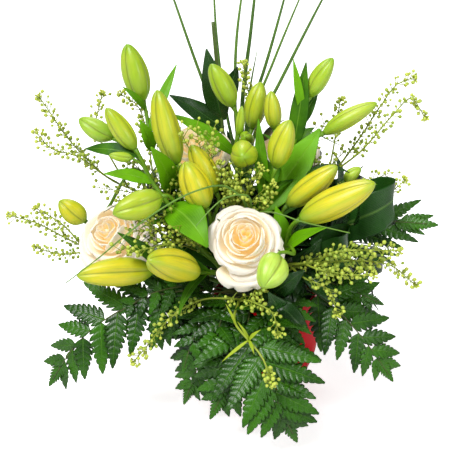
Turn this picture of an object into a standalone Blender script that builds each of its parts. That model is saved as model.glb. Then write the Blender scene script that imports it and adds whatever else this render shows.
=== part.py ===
"""A lily bouquet standing in wet floral foam in a small red pot.

Leafy lily stems with closed buds, four roses, leatherleaf fern, sprays of small round pods, grass, ruscus and
two looped aspidistra leaves.

Metres, +Z up. The origin is the middle of the pot's foot and the front of the arrangement is at -Y.
A place in the foliage is written (u, v, depth): the pixel where it is seen from the front, and how many
millimetres it lies behind (+) or before (-) the pot's axis. Widths in pixels are along the view, too.
"""

import math
import random

import bmesh
import bpy
from mathutils import Quaternion, Vector
from mathutils.bvhtree import BVHTree
from mathutils.geometry import delaunay_2d_cdt

PIXEL = 0.00115
VIEW_TILT = math.radians(20.0)
VIEW_DISTANCE = 1.7
PICTURE_MIDDLE = (225.0, 225.0)
FOOT_PIXEL = (264.0, 382.0)

POT_HEIGHT = 0.118
POT_RADIUS = 0.063
POT_SIDES = 20
FOAM_SIDES = 12
# radius and height of the pot's outside, as shares of POT_RADIUS and POT_HEIGHT
POT_OUTLINE = [(0.54, 0.0), (0.73, 0.13), (0.93, 0.34), (1.0, 0.56), (0.98, 0.80)]
POT_LIP = (0.95, 1.0)
LIP_BEVEL = 0.0017
POT_WALL = 0.004
POT_FLOOR = 0.006

GAP = 0.0003
FOCUS = Vector((0.0, 0.0, 0.112))
FOAM_DOME = 0.050
FOAM_SHOULDER = (0.0025, 0.006)
STEM_DEPTH = 0.023
STEM_STRAIGHT = 0.060
HOLE_ROOM = 0.00035
HOLE_OVERRUN = 0.004
WALL_BETWEEN_HOLES = 0.0009
LOWEST_ENTRY = math.radians(14.0)
PUSHES = 400

# radii of stems, first where they enter the foam and then at the top
STEM_SIDES = 5
THIN_SIDES = 4
TWIG_SIDES = 3
LILY_STEM = 0.0032
LILY_TOP = 0.0022
PEDICEL = 0.0020
SMALL_PEDICEL = 0.0014
ROSE_STEM = 0.0026
ROSE_TOP = 0.0060
FERN_STEM = 0.0015
FERN_TOP = 0.0012
FERN_END = 0.0005
SPRAY_STEM = 0.0018
SPRAY_TOP = 0.0011
TWIG = 0.0012
TWIG_END = 0.0008
GRASS_BUNCH = 0.0028
GRASS_BUNCH_TOP = 0.0022
GRASS_TIP = 0.0005
RUSCUS_STEM = 0.0024
RUSCUS_TOP = 0.0021
LEAF_STALK = 0.0020
LEAF_STALK_TOP = 0.0015

BLADE = 0.0008
CLEAR = 0.0004
LEAF_FOLD = 0.16
NARROW_LEAF = 16
SEED = 7

# closed buds: share of the length and fullness of each ring
BUD_FORM = [(0.0, 0.30), (0.17, 0.80), (0.45, 1.0), (0.80, 0.70), (1.0, 0.12)]
SMALL_BUD_FORM = [(0.0, 0.30), (0.30, 1.0), (0.75, 0.75), (1.0, 0.12)]
BUD_SIDES = 9
SMALL_BUD_SIDES = 6
BUD_LOBES = 0.06
END_RUN = 0.005

# roses: the core's height and radius as shares of the bloom's radius
ROSE_CORE = [(0.0, 0.20), (0.25, 0.27), (0.70, 0.33), (1.10, 0.14)]
ROSE_DEPTH = 0.62
ROSE_NECK = 0.012
GOLDEN_TURN = math.radians(137.5)
PETAL = 0.001
PETAL_SPREAD = math.radians(50.0)
PETAL_ROOT = (0.004, 0.003)
SEPALS = 5
SEPAL_DROP = 0.0035
SEPAL_LINE = [(0.0, 0.0), (0.011, 0.005), (0.021, 0.012)]
SEPAL_RADII = [0.0016, 0.0020, 0.0]

FROND_BARE = 0.14
FROND_TIP = 0.3
FROND_TIP_WIDTH = 0.24
RACHIS_HALF = 0.0009
PINNA_DROOP = 0.12
PINNA_VALLEY = 0.80
PINNA_TAPER = 0.52
PINNA_LIFTS = [0.0, 12.0, -12.0, 24.0, -24.0, 38.0, -38.0]
LONG_PINNA = 0.068

POD_STALK = 0.00035
POD_PITCH = 0.75
POD_LENGTHS = (0.010, 0.015)
POD_SIZES = (0.0044, 0.0054)
POD_TURN = 2 * math.pi / 3
POD_SWAY = 0.12

DEGENERATE = 0.000002
FLAT_ENOUGH = math.radians(0.3)
SMOOTH_ANGLE = math.radians(50.0)

GREEN = (0.075, 0.27, 0.02, 1.0)
DARK_GREEN = (0.012, 0.08, 0.015, 1.0)
FERN_GREEN = (0.02, 0.11, 0.02, 1.0)
POD_GREEN = (0.27, 0.38, 0.05, 1.0)
GRASS_GREEN = (0.07, 0.13, 0.03, 1.0)
CREAM = (0.87, 0.78, 0.62, 1.0)
POT_RED = (0.5, 0.01, 0.025, 1.0)
FOAM_GREEN = (0.03, 0.10, 0.03, 1.0)
BUD_GREEN = (0.26, 0.46, 0.04, 1.0)
BUD_YELLOW = (0.62, 0.58, 0.04, 1.0)

LOOK = Vector((0.0, math.cos(VIEW_TILT), -math.sin(VIEW_TILT)))
RIGHT = Vector((1.0, 0.0, 0.0))
UP = Vector((0.0, math.sin(VIEW_TILT), math.cos(VIEW_TILT)))
TO_EYE = -LOOK
BACK_FROM = 0.08

# Lily stems: the route ends at the first bud, whose fork is None. A bud is (name, base, tip, width, fork
# pixel, places on the way, shade from green 0 to yellow 1). A small bud is (base, tip, width, fork pixel) and
# grows as part of the stem. A leaf is (root pixel, tip, width, how far its middle rises in millimetres).
LILIES = {
    "lily_stem_1": {
        "route": [(222, 250, -40), (192, 225, -38), (168, 190, -34), (153, 150, -24)],
        "buds": [
            ("lily_bud_01", (143, 100, 0), (127, 44, 5), 26, None, [], 0.15),
            ("lily_bud_02", (177, 163, -48), (157, 90, -38), 27, (182, 210), [], 0.6),
            ("lily_bud_03", (206, 207, -82), (185, 162, -80), 30, (222, 250), [], 0.95),
            ("lily_bud_04", (216, 192, -54), (191, 145, -48), 24, (212, 243), [], 0.9),
        ],
        "small": [],
        "leaves": [
            ((168, 192), (156, 150, -78), 17, 6),
            ((144, 108), (123, 86, -14), 7, 4),
            ((152, 150), (140, 120, -38), 9, 4),
            ((150, 132), (176, 63, 20), 10, 4),
        ],
    },
    "lily_stem_2": {
        "route": [(215, 262, -62), (195, 243, -70), (177, 215, -72), (152, 182, -66)],
        "buds": [
            ("lily_bud_05", (135, 149, -58), (106, 108, -50), 20, None, [], 0.35),
            ("lily_bud_06", (113, 138, -25), (79, 119, -18), 20, (150, 180), [], 0.3),
            ("lily_bud_07", (161, 197, -96), (113, 214, -122), 28, (180, 220), [], 0.3),
            ("lily_bud_08", (85, 221, -6), (59, 201, -8), 22, (150, 180), [(120, 186, 4)], 0.8),
        ],
        "small": [((132, 158, -64), (109, 155, -68), 10, (146, 172))],
        "leaves": [
            ((152, 184), (104, 173, -78), 13, 5),
            ((140, 158), (84, 147, -31), 14, 5),
            ((180, 220), (208, 246, -128), 30, 10),
        ],
    },
    "lily_stem_3": {
        "route": [(248, 215, -20), (240, 190, -8), (236, 150, 0)],
        "buds": [
            ("lily_bud_09", (233, 106, 8), (211, 64, 12), 22, None, [], 0.15),
            ("lily_bud_10", (252, 128, 18), (261, 82, 24), 22, (237, 160), [], 0.4),
            ("lily_bud_11", (243, 152, -24), (243, 157, -78), 27, (241, 192), [], 0.35),
        ],
        "small": [
            ((239, 134, -8), (242, 106, -5), 9, (237, 155)),
            ((248, 141, 2), (245, 136, -22), 15, (238, 170)),
        ],
        "leaves": [((237, 155), (172, 113, -22), 15, 4)],
    },
    "lily_stem_4": {
        "route": [(262, 240, -40), (262, 206, -46), (270, 183, -48)],
        "buds": [
            ("lily_bud_12", (276, 167, -50), (290, 120, -52), 25, None, [], 0.6),
            ("lily_bud_13", (275, 129, -8), (271, 91, -5), 17, (262, 206), [], 0.55),
        ],
        "small": [],
        "leaves": [
            ((262, 212), (320, 127, -16), 32, -3),
            ((262, 202), (259, 118, -24), 12, 4),
            ((270, 182), (253, 167, -62), 7, 3),
        ],
    },
    "lily_stem_5": {
        "route": [(275, 215, -8), (285, 180, -8), (298, 132, -8)],
        "buds": [
            ("lily_bud_14", (310, 96, -4), (333, 58, -2), 19, None, [], 0.1),
            ("lily_bud_15", (324, 133, -14), (377, 103, -12), 18, (290, 160), [], 0.25),
        ],
        "small": [],
        "leaves": [
            ((294, 150), (306, 62, -6), 16, 4),
            ((302, 116), (294, 59, -14), 8, 3),
            ((300, 128), (318, 92, 10), 11, 3),
        ],
    },
    "lily_stem_6": {
        "route": [(285, 250, -70), (289, 232, -84)],
        "buds": [
            ("lily_bud_16", (301, 219, -95), (375, 183, -112), 30, None, [], 0.95),
            ("lily_bud_17", (288, 205, -60), (337, 166, -72), 24, (284, 250), [], 0.9),
            ("lily_bud_18", (277, 257, -148), (264, 287, -186), 31, (285, 248), [(293, 254, -126)], 0.45),
        ],
        "small": [((345, 180, -42), (361, 168, -42), 12, (284, 250))],
        "leaves": [
            ((278, 262), (322, 227, -128), 12, 8),
            ((345, 181), (378, 184, -36), 6, 3),
            ((284, 244), (276, 207, -84), 17, 4),
        ],
    },
    "lily_stem_7": {
        "route": [(232, 275, -62), (215, 273, -82)],
        "buds": [
            ("lily_bud_19", (197, 272, -104), (148, 260, -162), 32, None, [], 0.9),
            ("lily_bud_20", (153, 270, -94), (77, 276, -118), 28, (222, 274), [(188, 267, -84)], 0.95),
        ],
        "small": [],
        "leaves": [((165, 268), (118, 232, -102), 12, 4)],
    },
    "lily_stem_8": {
        "route": [(262, 215, 60), (256, 200, 85)],
        "buds": [
            ("lily_bud_21", (226, 186, 105), (204, 142, 122), 26, None, [], 0.5),
            ("lily_bud_22", (285, 190, 108), (304, 145, 122), 26, (260, 208), [], 0.7),
        ],
        "small": [((250, 172, 112), (249, 148, 120), 12, (256, 200))],
        "leaves": [
            ((256, 200), (180, 190, 150), 20, -5),
            ((262, 215), (335, 190, 150), 22, -5),
            ((240, 192), (248, 140, 150), 16, -5),
        ],
    },
}

# Roses: the middle of the bloom, the way it faces, its width in pixels, and its petals
ROSES = {
    "1": {"middle": (245, 246, -118), "faces": (-0.04, -0.88, 0.48), "width": 76, "petals": 10},
    "2": {"middle": (116, 236, -44), "faces": (-0.45, -0.62, 0.64), "width": 74, "petals": 9},
    "3": {"middle": (194, 150, 22), "faces": (-0.15, -0.55, 0.82), "width": 66, "petals": 7},
    "4": {"middle": (291, 150, 42), "faces": (0.15, -0.55, 0.82), "width": 58, "petals": 6},
}

# Fern fronds: the rachis route, pairs of pinnae, the longest pinna in pixels, and the side that faces out
FERNS = {
    "fern_frond_1": {
        "route": [(200, 290, -72), (158, 295, -92), (125, 308, -104), (99, 324, -110), (75, 346, -112)],
        "tip": (53, 379, -108), "pairs": 7, "longest": 66, "faces": (-0.15, -0.85, 0.5),
    },
    "fern_frond_2": {
        "route": [(250, 316, -112), (256, 345, -148), (268, 376, -172), (280, 408, -188)],
        "tip": (293, 434, -184), "pairs": 7, "longest": 80, "faces": (0.0, -0.9, 0.42),
    },
    "fern_frond_3": {
        "route": [(222, 302, -88), (208, 330, -108), (200, 360, -116)],
        "tip": (186, 398, -118), "pairs": 6, "longest": 52, "faces": (-0.2, -0.85, 0.5),
    },
    "fern_frond_4": {
        "route": [(295, 284, -70), (321, 297, -96), (345, 318, -110), (368, 345, -118)],
        "tip": (389, 375, -118), "pairs": 6, "longest": 60, "faces": (0.15, -0.85, 0.5),
    },
    "fern_frond_5": {
        "route": [(305, 250, 0), (345, 226, -2), (375, 222, -6), (402, 222, -10)],
        "tip": (427, 224, -14), "pairs": 4, "longest": 52, "faces": (0.1, -0.85, 0.5),
    },
    "fern_frond_6": {
        "route": [(252, 300, -98), (246, 335, -134), (234, 370, -152)],
        "tip": (214, 411, -160), "pairs": 6, "longest": 66, "faces": (-0.1, -0.9, 0.42),
    },
    "fern_frond_7": {
        "route": [(205, 255, 70), (165, 245, 115), (130, 248, 145)],
        "tip": (100, 262, 165), "pairs": 4, "longest": 56, "faces": (-0.2, 0.5, 0.84),
    },
    "fern_frond_8": {
        "route": [(300, 252, 70), (335, 242, 115), (362, 246, 142)],
        "tip": (390, 262, 160), "pairs": 4, "longest": 56, "faces": (0.2, 0.5, 0.84),
    },
}

# Sprays: the main route, then branches as (pixel where it forks, route, first share with pods, pods)
SPRAYS = {
    "pod_spray_1": {
        "route": [(210, 240, 15), (160, 203, 16), (130, 188, 12)],
        "branches": [
            ((130, 188), [(113, 181, 8), (88, 160, 0), (66, 136, -6), (49, 111, -8), (40, 98, -8)], 0.3, 6),
            ((118, 184), [(104, 175, -8), (77, 156, -24), (49, 147, -30), (37, 133, -32)], 0.3, 5),
            ((130, 188), [(112, 160, 16), (96, 128, 22), (102, 95, 22)], 0.5, 3),
            ((160, 203), [(152, 168, 20), (147, 135, 26), (136, 104, 28), (122, 95, 26)], 0.6, 3),
        ],
    },
    "pod_spray_2": {
        "route": [(205, 262, -12), (150, 256, 0), (105, 252, -8), (88, 250, -12)],
        "branches": [
            ((88, 250), [(60, 235, -18), (37, 223, -22), (11, 216, -26)], 0.1, 5),
            ((80, 246), [(62, 224, -12), (48, 215, -14), (37, 209, -16)], 0.3, 3),
            ((92, 250), [(60, 254, -22), (37, 248, -28)], 0.2, 3),
        ],
    },
    "pod_spray_3": {
        "route": [(243, 245, -52), (230, 222, -60)],
        "branches": [
            ((230, 222), [(229, 195, -62), (220, 165, -66)], 0.25, 3),
            ((230, 222), [(246, 196, -60), (260, 170, -66)], 0.25, 3),
            ((234, 230), [(262, 210, -64), (273, 186, -80)], 0.35, 3),
            ((238, 240), [(205, 240, -92), (165, 235, -104), (146, 220, -104)], 0.45, 4),
            ((190, 240), [(160, 246, -112), (132, 252, -114)], 0.3, 3),
        ],
    },
    "pod_spray_4": {
        "route": [(245, 296, -82), (238, 302, -104)],
        "branches": [
            ((241, 300), [(201, 300, -108), (170, 318, -120), (148, 345, -126), (134, 361, -126)], 0.3, 6),
            ((238, 302), [(255, 303, -150), (272, 312, -160), (278, 333, -164)], 0.35, 3),
            ((238, 302), [(236, 325, -160), (250, 342, -186), (262, 357, -200), (272, 383, -208)], 0.55, 3),
        ],
    },
    "pod_spray_5": {
        "route": [(280, 268, -62), (296, 264, -92), (330, 262, -108)],
        "branches": [
            ((330, 262), [(365, 261, -116), (390, 265, -120), (414, 284, -122)], 0.0, 6),
            ((315, 263), [(335, 252, -128), (362, 250, -134), (398, 251, -136)], 0.2, 5),
            ((306, 264), [(318, 269, -126), (342, 274, -132), (372, 275, -134)], 0.3, 4),
            ((290, 266), [(306, 279, -112), (328, 289, -122), (337, 313, -126)], 0.4, 3),
        ],
    },
    "pod_spray_6": {
        "route": [(285, 232, 5), (318, 196, 8), (338, 167, 6)],
        "branches": [
            ((338, 167), [(361, 136, 0), (382, 104, -5), (399, 83, -8), (413, 78, -8)], 0.15, 6),
            ((336, 170), [(361, 151, -14), (393, 115, -24), (411, 98, -26), (424, 116, -26)], 0.2, 5),
            ((326, 186), [(334, 145, 24), (340, 101, 26)], 0.5, 3),
            ((312, 203), [(360, 200, -2), (385, 196, -8), (404, 181, -10)], 0.5, 3),
        ],
    },
    "pod_spray_7": {
        "route": [(252, 225, 40), (246, 195, 65)],
        "branches": [
            ((246, 195), [(258, 165, 56), (253, 118, 50), (243, 64, 44)], 0.6, 4),
            ((250, 215), [(215, 205, 110), (180, 212, 150), (150, 225, 172)], 0.3, 4),
            ((250, 212), [(275, 212, 46), (305, 222, 100), (330, 228, 135), (352, 232, 165)], 0.35, 4),
        ],
    },
}

# Grass: the bunch's route, then each blade from the bunch's end, and its width in pixels at the root
GRASS = {
    "grass_bunch_back": {
        "route": [(252, 212, 34), (243, 180, 52)],
        "steps": 1,
        "blades": [
            ([(222, 130, 70), (199, 71, 76), (174, 0, 84), (150, -70, 92)], 2.4),
            ([(228, 120, 84), (217, 40, 96), (212, -66, 108)], 2.2),
            ([(236, 120, 64), (236, 50, 70), (250, -60, 80)], 2.6),
            ([(242, 110, 78), (251, 30, 88), (262, -70, 100)], 3.2),
            ([(248, 120, 66), (264, 70, 70), (300, -60, 84)], 2.6),
            ([(252, 118, 84), (274, 60, 92), (316, -40, 106)], 2.2),
            ([(256, 130, 72), (280, 82, 76), (322, 0, 86), (350, -52, 92)], 2.6),
            ([(246, 130, 90), (250, 90, 94), (257, 51, 96)], 2.4),
            ([(222, 150, 120), (190, 130, 160), (150, 140, 190)], 2.2),
            ([(262, 150, 120), (300, 130, 160), (340, 145, 190)], 2.2),
        ],
    },
    "grass_bunch_front": {
        "route": [(255, 235, -52), (250, 216, -72)],
        "steps": 2,
        "blades": [
            ([(222, 186, -112), (160, 210, -144), (100, 257, -150), (66, 283, -148)], 3.0),
            ([(272, 212, -104), (300, 221, -126), (350, 233, -138)], 3.0),
            ([(248, 196, -104), (222, 200, -122), (196, 226, -138)], 2.4),
        ],
    },
}

RUSCUS_ROUTE = [(238, 225, 28), (228, 180, 40), (220, 100, 48), (213, 22, 54)]
# root pixel, tip, width in pixels, bow, faces
RUSCUS_LEAVES = [
    ((221, 122), (206, 49, 34), 25, 4, (-0.2, -0.9, 0.3)),
    ((221, 128), (170, 94, 36), 20, 5, (0.0, -0.8, 0.6)),
    ((220, 110), (237, 66, 56), 18, 4, (0.2, 0.9, 0.3)),
    ((224, 150), (196, 120, 96), 20, 4, (-0.1, 0.8, 0.6)),
]

# Aspidistra: the stalk's route, then the looped blade's middle line and its width in pixels
ASPIDISTRA = {
    "aspidistra_leaf_1": {
        "stalk": [(300, 238, -18)],
        "blade": [
            (326, 230, -28), (352, 221, -50), (380, 209, -58), (393, 199, -42), (380, 193, -18), (352, 199, -6),
        ],
        "width": 44,
    },
    "aspidistra_leaf_2": {
        "stalk": [(284, 266, -48)],
        "blade": [
            (305, 262, -68), (328, 256, -84), (345, 247, -86), (347, 239, -74), (330, 239, -65), (312, 247, -62),
        ],
        "width": 34,
    },
}

taken = {}


def pixel_depth(scene_point):
    """The distance from the eye along the view, as a share of the distance to the picture's middle."""
    return 1.0 + (scene_point - AIM).dot(LOOK) / VIEW_DISTANCE


def aim_point():
    """The point in the plane of the pot's axis that the picture's middle shows."""
    drop = (FOOT_PIXEL[1] - PICTURE_MIDDLE[1]) * PIXEL
    height = drop * VIEW_DISTANCE / (VIEW_DISTANCE * math.cos(VIEW_TILT) - drop * math.sin(VIEW_TILT))
    farther = 1.0 + height * math.sin(VIEW_TILT) / VIEW_DISTANCE
    across = (FOOT_PIXEL[0] - PICTURE_MIDDLE[0]) * PIXEL * farther
    return Vector((-across, 0.0, height))


AIM = aim_point()
EYE = AIM - LOOK * VIEW_DISTANCE


def spot(place):
    """The point seen at pixel (u, v) that lies `depth` millimetres behind the pot's axis."""
    u, v, depth = place
    ray = LOOK * VIEW_DISTANCE
    ray = ray + RIGHT * (u - PICTURE_MIDDLE[0]) * PIXEL + UP * (PICTURE_MIDDLE[1] - v) * PIXEL
    return EYE + ray * ((depth * 0.001 - EYE.y) / ray.y)


def seen(point):
    """The pixel at which a point is seen."""
    share = PIXEL * pixel_depth(point)
    offset = point - AIM
    return (PICTURE_MIDDLE[0] + offset.dot(RIGHT) / share, PICTURE_MIDDLE[1] - offset.dot(UP) / share)


def real_width(pixels, point):
    return pixels * PIXEL * pixel_depth(point)


def foam_entries(stems):
    """Directions from the focus through the foam's dome, pushed apart until no two stems' holes meet."""
    names = list(stems)
    ways = {name: (stems[name][0] - FOCUS).normalized() for name in names}
    inner = FOAM_DOME - STEM_DEPTH
    room = {name: math.asin((stems[name][1] + HOLE_ROOM + WALL_BETWEEN_HOLES) / inner) for name in names}
    for _ in range(PUSHES):
        for i, one in enumerate(names):
            for two in names[i + 1:]:
                short = room[one] + room[two] - ways[one].angle(ways[two])
                if short > 0.0:
                    push = (ways[one] - ways[two]).normalized() * (0.5 * short)
                    ways[one] = (ways[one] + push).normalized()
                    ways[two] = (ways[two] - push).normalized()
        for name in names:
            rise = math.asin(ways[name].z)
            if rise < LOWEST_ENTRY:
                level = Vector((ways[name].x, ways[name].y, 0.0)).normalized()
                ways[name] = level * math.cos(LOWEST_ENTRY) + Vector((0.0, 0.0, math.sin(LOWEST_ENTRY)))
    return ways


def smooth_path(points, first_way=None, last_way=None, steps=3):
    """A smooth curve through the points: cubic spans whose slopes come from the neighbours."""
    slopes = []
    for i, point in enumerate(points):
        before = points[max(i - 1, 0)]
        after = points[min(i + 1, len(points) - 1)]
        slopes.append((after - before).normalized())
    if first_way is not None:
        slopes[0] = first_way
    if last_way is not None:
        slopes[-1] = last_way
    path = [points[0]]
    for i in range(len(points) - 1):
        start, end = points[i], points[i + 1]
        reach = (end - start).length
        for k in range(1, steps + 1):
            t = k / steps
            along = slopes[i] * reach * (t ** 3 - 2 * t ** 2 + t) + slopes[i + 1] * reach * (t ** 3 - t ** 2)
            path.append(start * (2 * t ** 3 - 3 * t ** 2 + 1) + end * (3 * t ** 2 - 2 * t ** 3) + along)
    return path


def frames(path):
    """Along the path: its direction and two cross directions that turn as little as they can."""
    ways = []
    for i in range(len(path)):
        ways.append((path[min(i + 1, len(path) - 1)] - path[max(i - 1, 0)]).normalized())
    side = ways[0].orthogonal().normalized()
    found = []
    for i, way in enumerate(ways):
        if i:
            side = (ways[i - 1].rotation_difference(way)) @ side
        side = (side - way * side.dot(way)).normalized()
        found.append((way, side, way.cross(side)))
    return found


def tube(path, radii, sides):
    """A closed round rod along the path. A last radius of zero makes a point."""
    verts, faces = [], []
    pointed = radii[-1] == 0.0
    rings = len(path) - 1 if pointed else len(path)
    for (way, side, across), point, radius in list(zip(frames(path), path, radii))[:rings]:
        for k in range(sides):
            angle = 2 * math.pi * k / sides
            verts.append(point + (side * math.cos(angle) + across * math.sin(angle)) * radius)
    for i in range(rings - 1):
        for k in range(sides):
            n = (k + 1) % sides
            faces.append((i * sides + k, i * sides + n, (i + 1) * sides + n, (i + 1) * sides + k))
    faces.append(tuple(reversed(range(sides))))
    last = (rings - 1) * sides
    if pointed:
        verts.append(path[-1])
        faces.extend((last + k, last + (k + 1) % sides, len(verts) - 1) for k in range(sides))
    else:
        faces.append(tuple(last + k for k in range(sides)))
    return verts, faces


def tapered(count, first, last):
    """Radii that go evenly from the first to the last."""
    return [first + (last - first) * i / (count - 1) for i in range(count)]


def slab(points, normals, faces, thickness):
    """A thin closed solid about a sheet: both faces split alike, with a rim round them."""
    half = thickness / 2
    count = len(points)
    verts = [p + n * half for p, n in zip(points, normals)] + [p - n * half for p, n in zip(points, normals)]
    edges = {(face[i], face[(i + 1) % 3]) for face in faces for i in range(3)}
    shell = [tuple(face) for face in faces] + [tuple(count + i for i in reversed(face)) for face in faces]
    for a, b in sorted(edges):
        if (b, a) not in edges:
            shell.append((b, a, count + a))
            shell.append((b, count + a, count + b))
    return verts, shell


def strip_faces(rows, across, pointed):
    """Triangles of a sheet of rows with `across` points each, ending in one point if it is pointed."""
    faces = []
    for i in range(rows - 1):
        for k in range(across - 1):
            a, b = i * across + k, i * across + k + 1
            c, d = a + across, b + across
            faces.extend([(a, b, d), (a, d, c)])
    if pointed:
        last = (rows - 1) * across
        faces.extend((last + k, last + k + 1, last + across) for k in range(across - 1))
    return faces


def leaf(root, tip, width, bow, faces_way, rows=4):
    """A lance-shaped leaf: widest at two fifths, folded a little along its rib, bowed toward `faces_way`."""
    chord = tip - root
    way = chord.normalized()
    normal = (faces_way - way * faces_way.dot(way)).normalized()
    side = way.cross(normal)
    points, normals = [], []
    for i in range(rows):
        t = i / rows
        spread = width / 2 * (math.sin(math.pi * min(1.0, 0.06 + 0.94 * t) ** 0.85) + 0.05)
        middle = root + chord * t + normal * bow * 4 * t * (1 - t)
        for k in (-1, 0, 1):
            points.append(middle + side * spread * k + normal * abs(k) * spread * LEAF_FOLD)
            normals.append((normal - side * k * LEAF_FOLD).normalized())
    points.append(tip)
    normals.append(normal)
    sheet = slab(points, normals, strip_faces(rows, 3, True), BLADE)
    return sheet if signed_volume(sheet) > 0 else turned_out(sheet)


def signed_volume(lump):
    verts, faces = lump
    total = 0.0
    for face in faces:
        for i in range(1, len(face) - 1):
            total += verts[face[0]].dot(verts[face[i]].cross(verts[face[i + 1]]))
    return total / 6.0


def turned_out(lump):
    return lump[0], [tuple(reversed(face)) for face in lump[1]]


def bud(base, tip, width, form=BUD_FORM, sides=BUD_SIDES):
    """A closed lily bud: a three-lobed spindle, fullest before its middle, with a blunt tip."""
    way = (tip - base).normalized()
    side = way.orthogonal().normalized()
    across = way.cross(side)
    verts, faces = [], []
    for share, fullness in form:
        for k in range(sides):
            angle = 2 * math.pi * k / sides
            radius = width / 2 * fullness * (1 + BUD_LOBES * math.cos(3 * angle))
            out = side * math.cos(angle) + across * math.sin(angle)
            verts.append(base + (tip - base) * share + out * radius)
    for i in range(len(form) - 1):
        for k in range(sides):
            n = (k + 1) % sides
            faces.append((i * sides + k, i * sides + n, (i + 1) * sides + n, (i + 1) * sides + k))
    last = (len(form) - 1) * sides
    faces.append(tuple(reversed(range(sides))))
    faces.append(tuple(last + k for k in range(sides)))
    return verts, faces


def petal(base, axis, side, reach, rise, lip, cols=2, rows=2):
    """One rose petal: a cupped sheet round the axis, rooted in the bloom's core, its lip rolled out."""
    across = axis.cross(side)
    root_radius, root_height = PETAL_ROOT
    points = []
    for i in range(rows + 1):
        t = i / rows
        opened = math.sin(math.pi / 2 * t) ** 0.8
        radius = root_radius + (reach - root_radius) * opened + lip * max(0.0, t - 0.6) ** 2
        height = root_height + rise * t ** 1.25 - lip * 0.5 * max(0.0, t - 0.8)
        half = PETAL_SPREAD * (0.55 + 0.45 * math.sin(math.pi * min(1.0, 0.2 + 0.6 * t)))
        for k in range(cols + 1):
            turn = half * (2 * k / cols - 1)
            dip = rise * 0.24 * t * (2 * k / cols - 1) ** 2
            level = side * math.cos(turn) + across * math.sin(turn)
            points.append(base + level * radius + axis * (height - dip))
    normals = []
    for i in range(rows + 1):
        for k in range(cols + 1):
            here = points[i * (cols + 1) + k]
            level = here - base - axis * (here - base).dot(axis)
            normals.append((level.normalized() * 0.75 - axis * 0.35 * (reach / 0.04)).normalized())
    sheet = slab(points, normals, strip_faces(rows + 1, cols + 1, False), PETAL)
    return sheet if signed_volume(sheet) > 0 else turned_out(sheet)


def rose(middle, axis, width, petals):
    """A rose: a tight core, and petals on a golden spiral that get wider, lower and more open outward."""
    radius = width / 2
    base = middle - axis * radius * ROSE_DEPTH
    side = axis.orthogonal().normalized()
    core = [base + axis * radius * height for height, _ in ROSE_CORE]
    lumps = [tube(core, [radius * share for _, share in ROSE_CORE], 7)]
    for i in range(petals):
        share = i / (petals - 1)
        turned = Quaternion(axis, GOLDEN_TURN * i) @ side
        reach = radius * (0.36 + 0.60 * share)
        rise = radius * (1.18 - 0.52 * share)
        lumps.append(petal(base, axis, turned, reach, rise, radius * 0.5 * share))
    return base, lumps


def pinna_edge(teeth):
    """One edge of a pinna from its root to its tip: forward teeth as (share of length, share of width)."""
    edge = []
    for i in range(teeth):
        size = 1.0 - PINNA_TAPER * (i / teeth) ** 1.2
        edge.append(((i + 0.9) / (teeth + 0.75), size))
        edge.append(((i + 1.0) / (teeth + 0.75), size * PINNA_VALLEY))
    return edge[:-1]


class Pinna:
    """One toothed leaflet of a frond: its foot on the rachis and its own directions there."""

    def __init__(self, foot, along, frame, turn, hand, length, half, teeth, lift=0.0):
        way, side, normal = frame
        self.foot, self.along, self.hand, self.teeth = foot, along, hand, teeth
        self.length, self.half, self.turn = length, half, turn
        out = way * math.cos(turn) + side * (hand * math.sin(turn))
        self.out = Quaternion(way * hand, lift) @ out
        self.normal = (normal - self.out * normal.dot(self.out)).normalized()
        ahead = self.normal.cross(self.out).normalized()
        self.ahead = ahead if ahead.dot(way) > 0 else -ahead

    def outline(self, along_rachis):
        """Its outline from its hind root round its tip to its front root: flat places, points and normals."""
        edge = pinna_edge(self.teeth)
        shape = [(s, -w) for s, w in edge] + [(1.0, 0.0)] + [(s, w) for s, w in reversed(edge)]
        flat, points = [], []
        for s, w in shape:
            across, ahead = s * self.length, w * self.half
            flat.append(Vector((
                self.along + across * math.cos(self.turn) + ahead * math.sin(self.turn),
                self.hand * (across * math.sin(self.turn) - ahead * math.cos(self.turn)), 0.0)))
            droop = self.normal * (PINNA_DROOP * self.length * s * s)
            points.append(self.foot + self.out * across + self.ahead * ahead - droop)
        roots = []
        for step, reach in ((-0.3 * self.half, RACHIS_HALF), (0.3 * self.half, RACHIS_HALF * 0.8)):
            place, (_, side, _) = along_rachis(self.along + step)
            flat_root = Vector((self.along + step, self.hand * reach, 0.0))
            roots.append((flat_root, place + side * (self.hand * reach)))
        flat = [roots[0][0]] + flat + [roots[1][0]]
        points = [roots[0][1]] + points + [roots[1][1]]
        return flat, points, [self.normal] * len(points)


def flat_slab(flat, points, normals, thickness):
    """A thin closed solid from an outline that is split into triangles while it lies flat."""
    split = delaunay_2d_cdt([p.to_2d() for p in flat], [], [list(range(len(flat)))], 1, 1e-8)
    faces = [tuple(split[3][i][0] for i in face) for face in split[2]]
    sheet = slab(points, normals, faces, thickness)
    return sheet if signed_volume(sheet) > 0 else turned_out(sheet)


def pod(root, way, length, size, thick=0.0):
    """A drop-shaped pod on its stalk, three-sided."""
    path = [root + way * length * s for s in (0.0, 0.74, 1.0)]
    stalk = POD_STALK + thick
    return tube(path, [stalk, size / 2 + thick, 0.0], 3)


def tree(lump):
    return BVHTree.FromPolygons([tuple(v) for v in lump[0]], lump[1])


def is_free(lump, owner):
    mine = tree(lump)
    return not any(mine.overlap(other) for name, trees in taken.items() if name != owner for other in trees)


def claim(lump, owner):
    taken.setdefault(owner, []).append(tree(lump))


def material(name, colour, roughness, metallic=0.0):
    made = bpy.data.materials.new(name)
    made.use_nodes = True
    shader = made.node_tree.nodes["Principled BSDF"]
    shader.inputs["Base Color"].default_value = colour
    shader.inputs["Roughness"].default_value = roughness
    shader.inputs["Metallic"].default_value = metallic
    made.diffuse_color = colour
    return made


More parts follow.
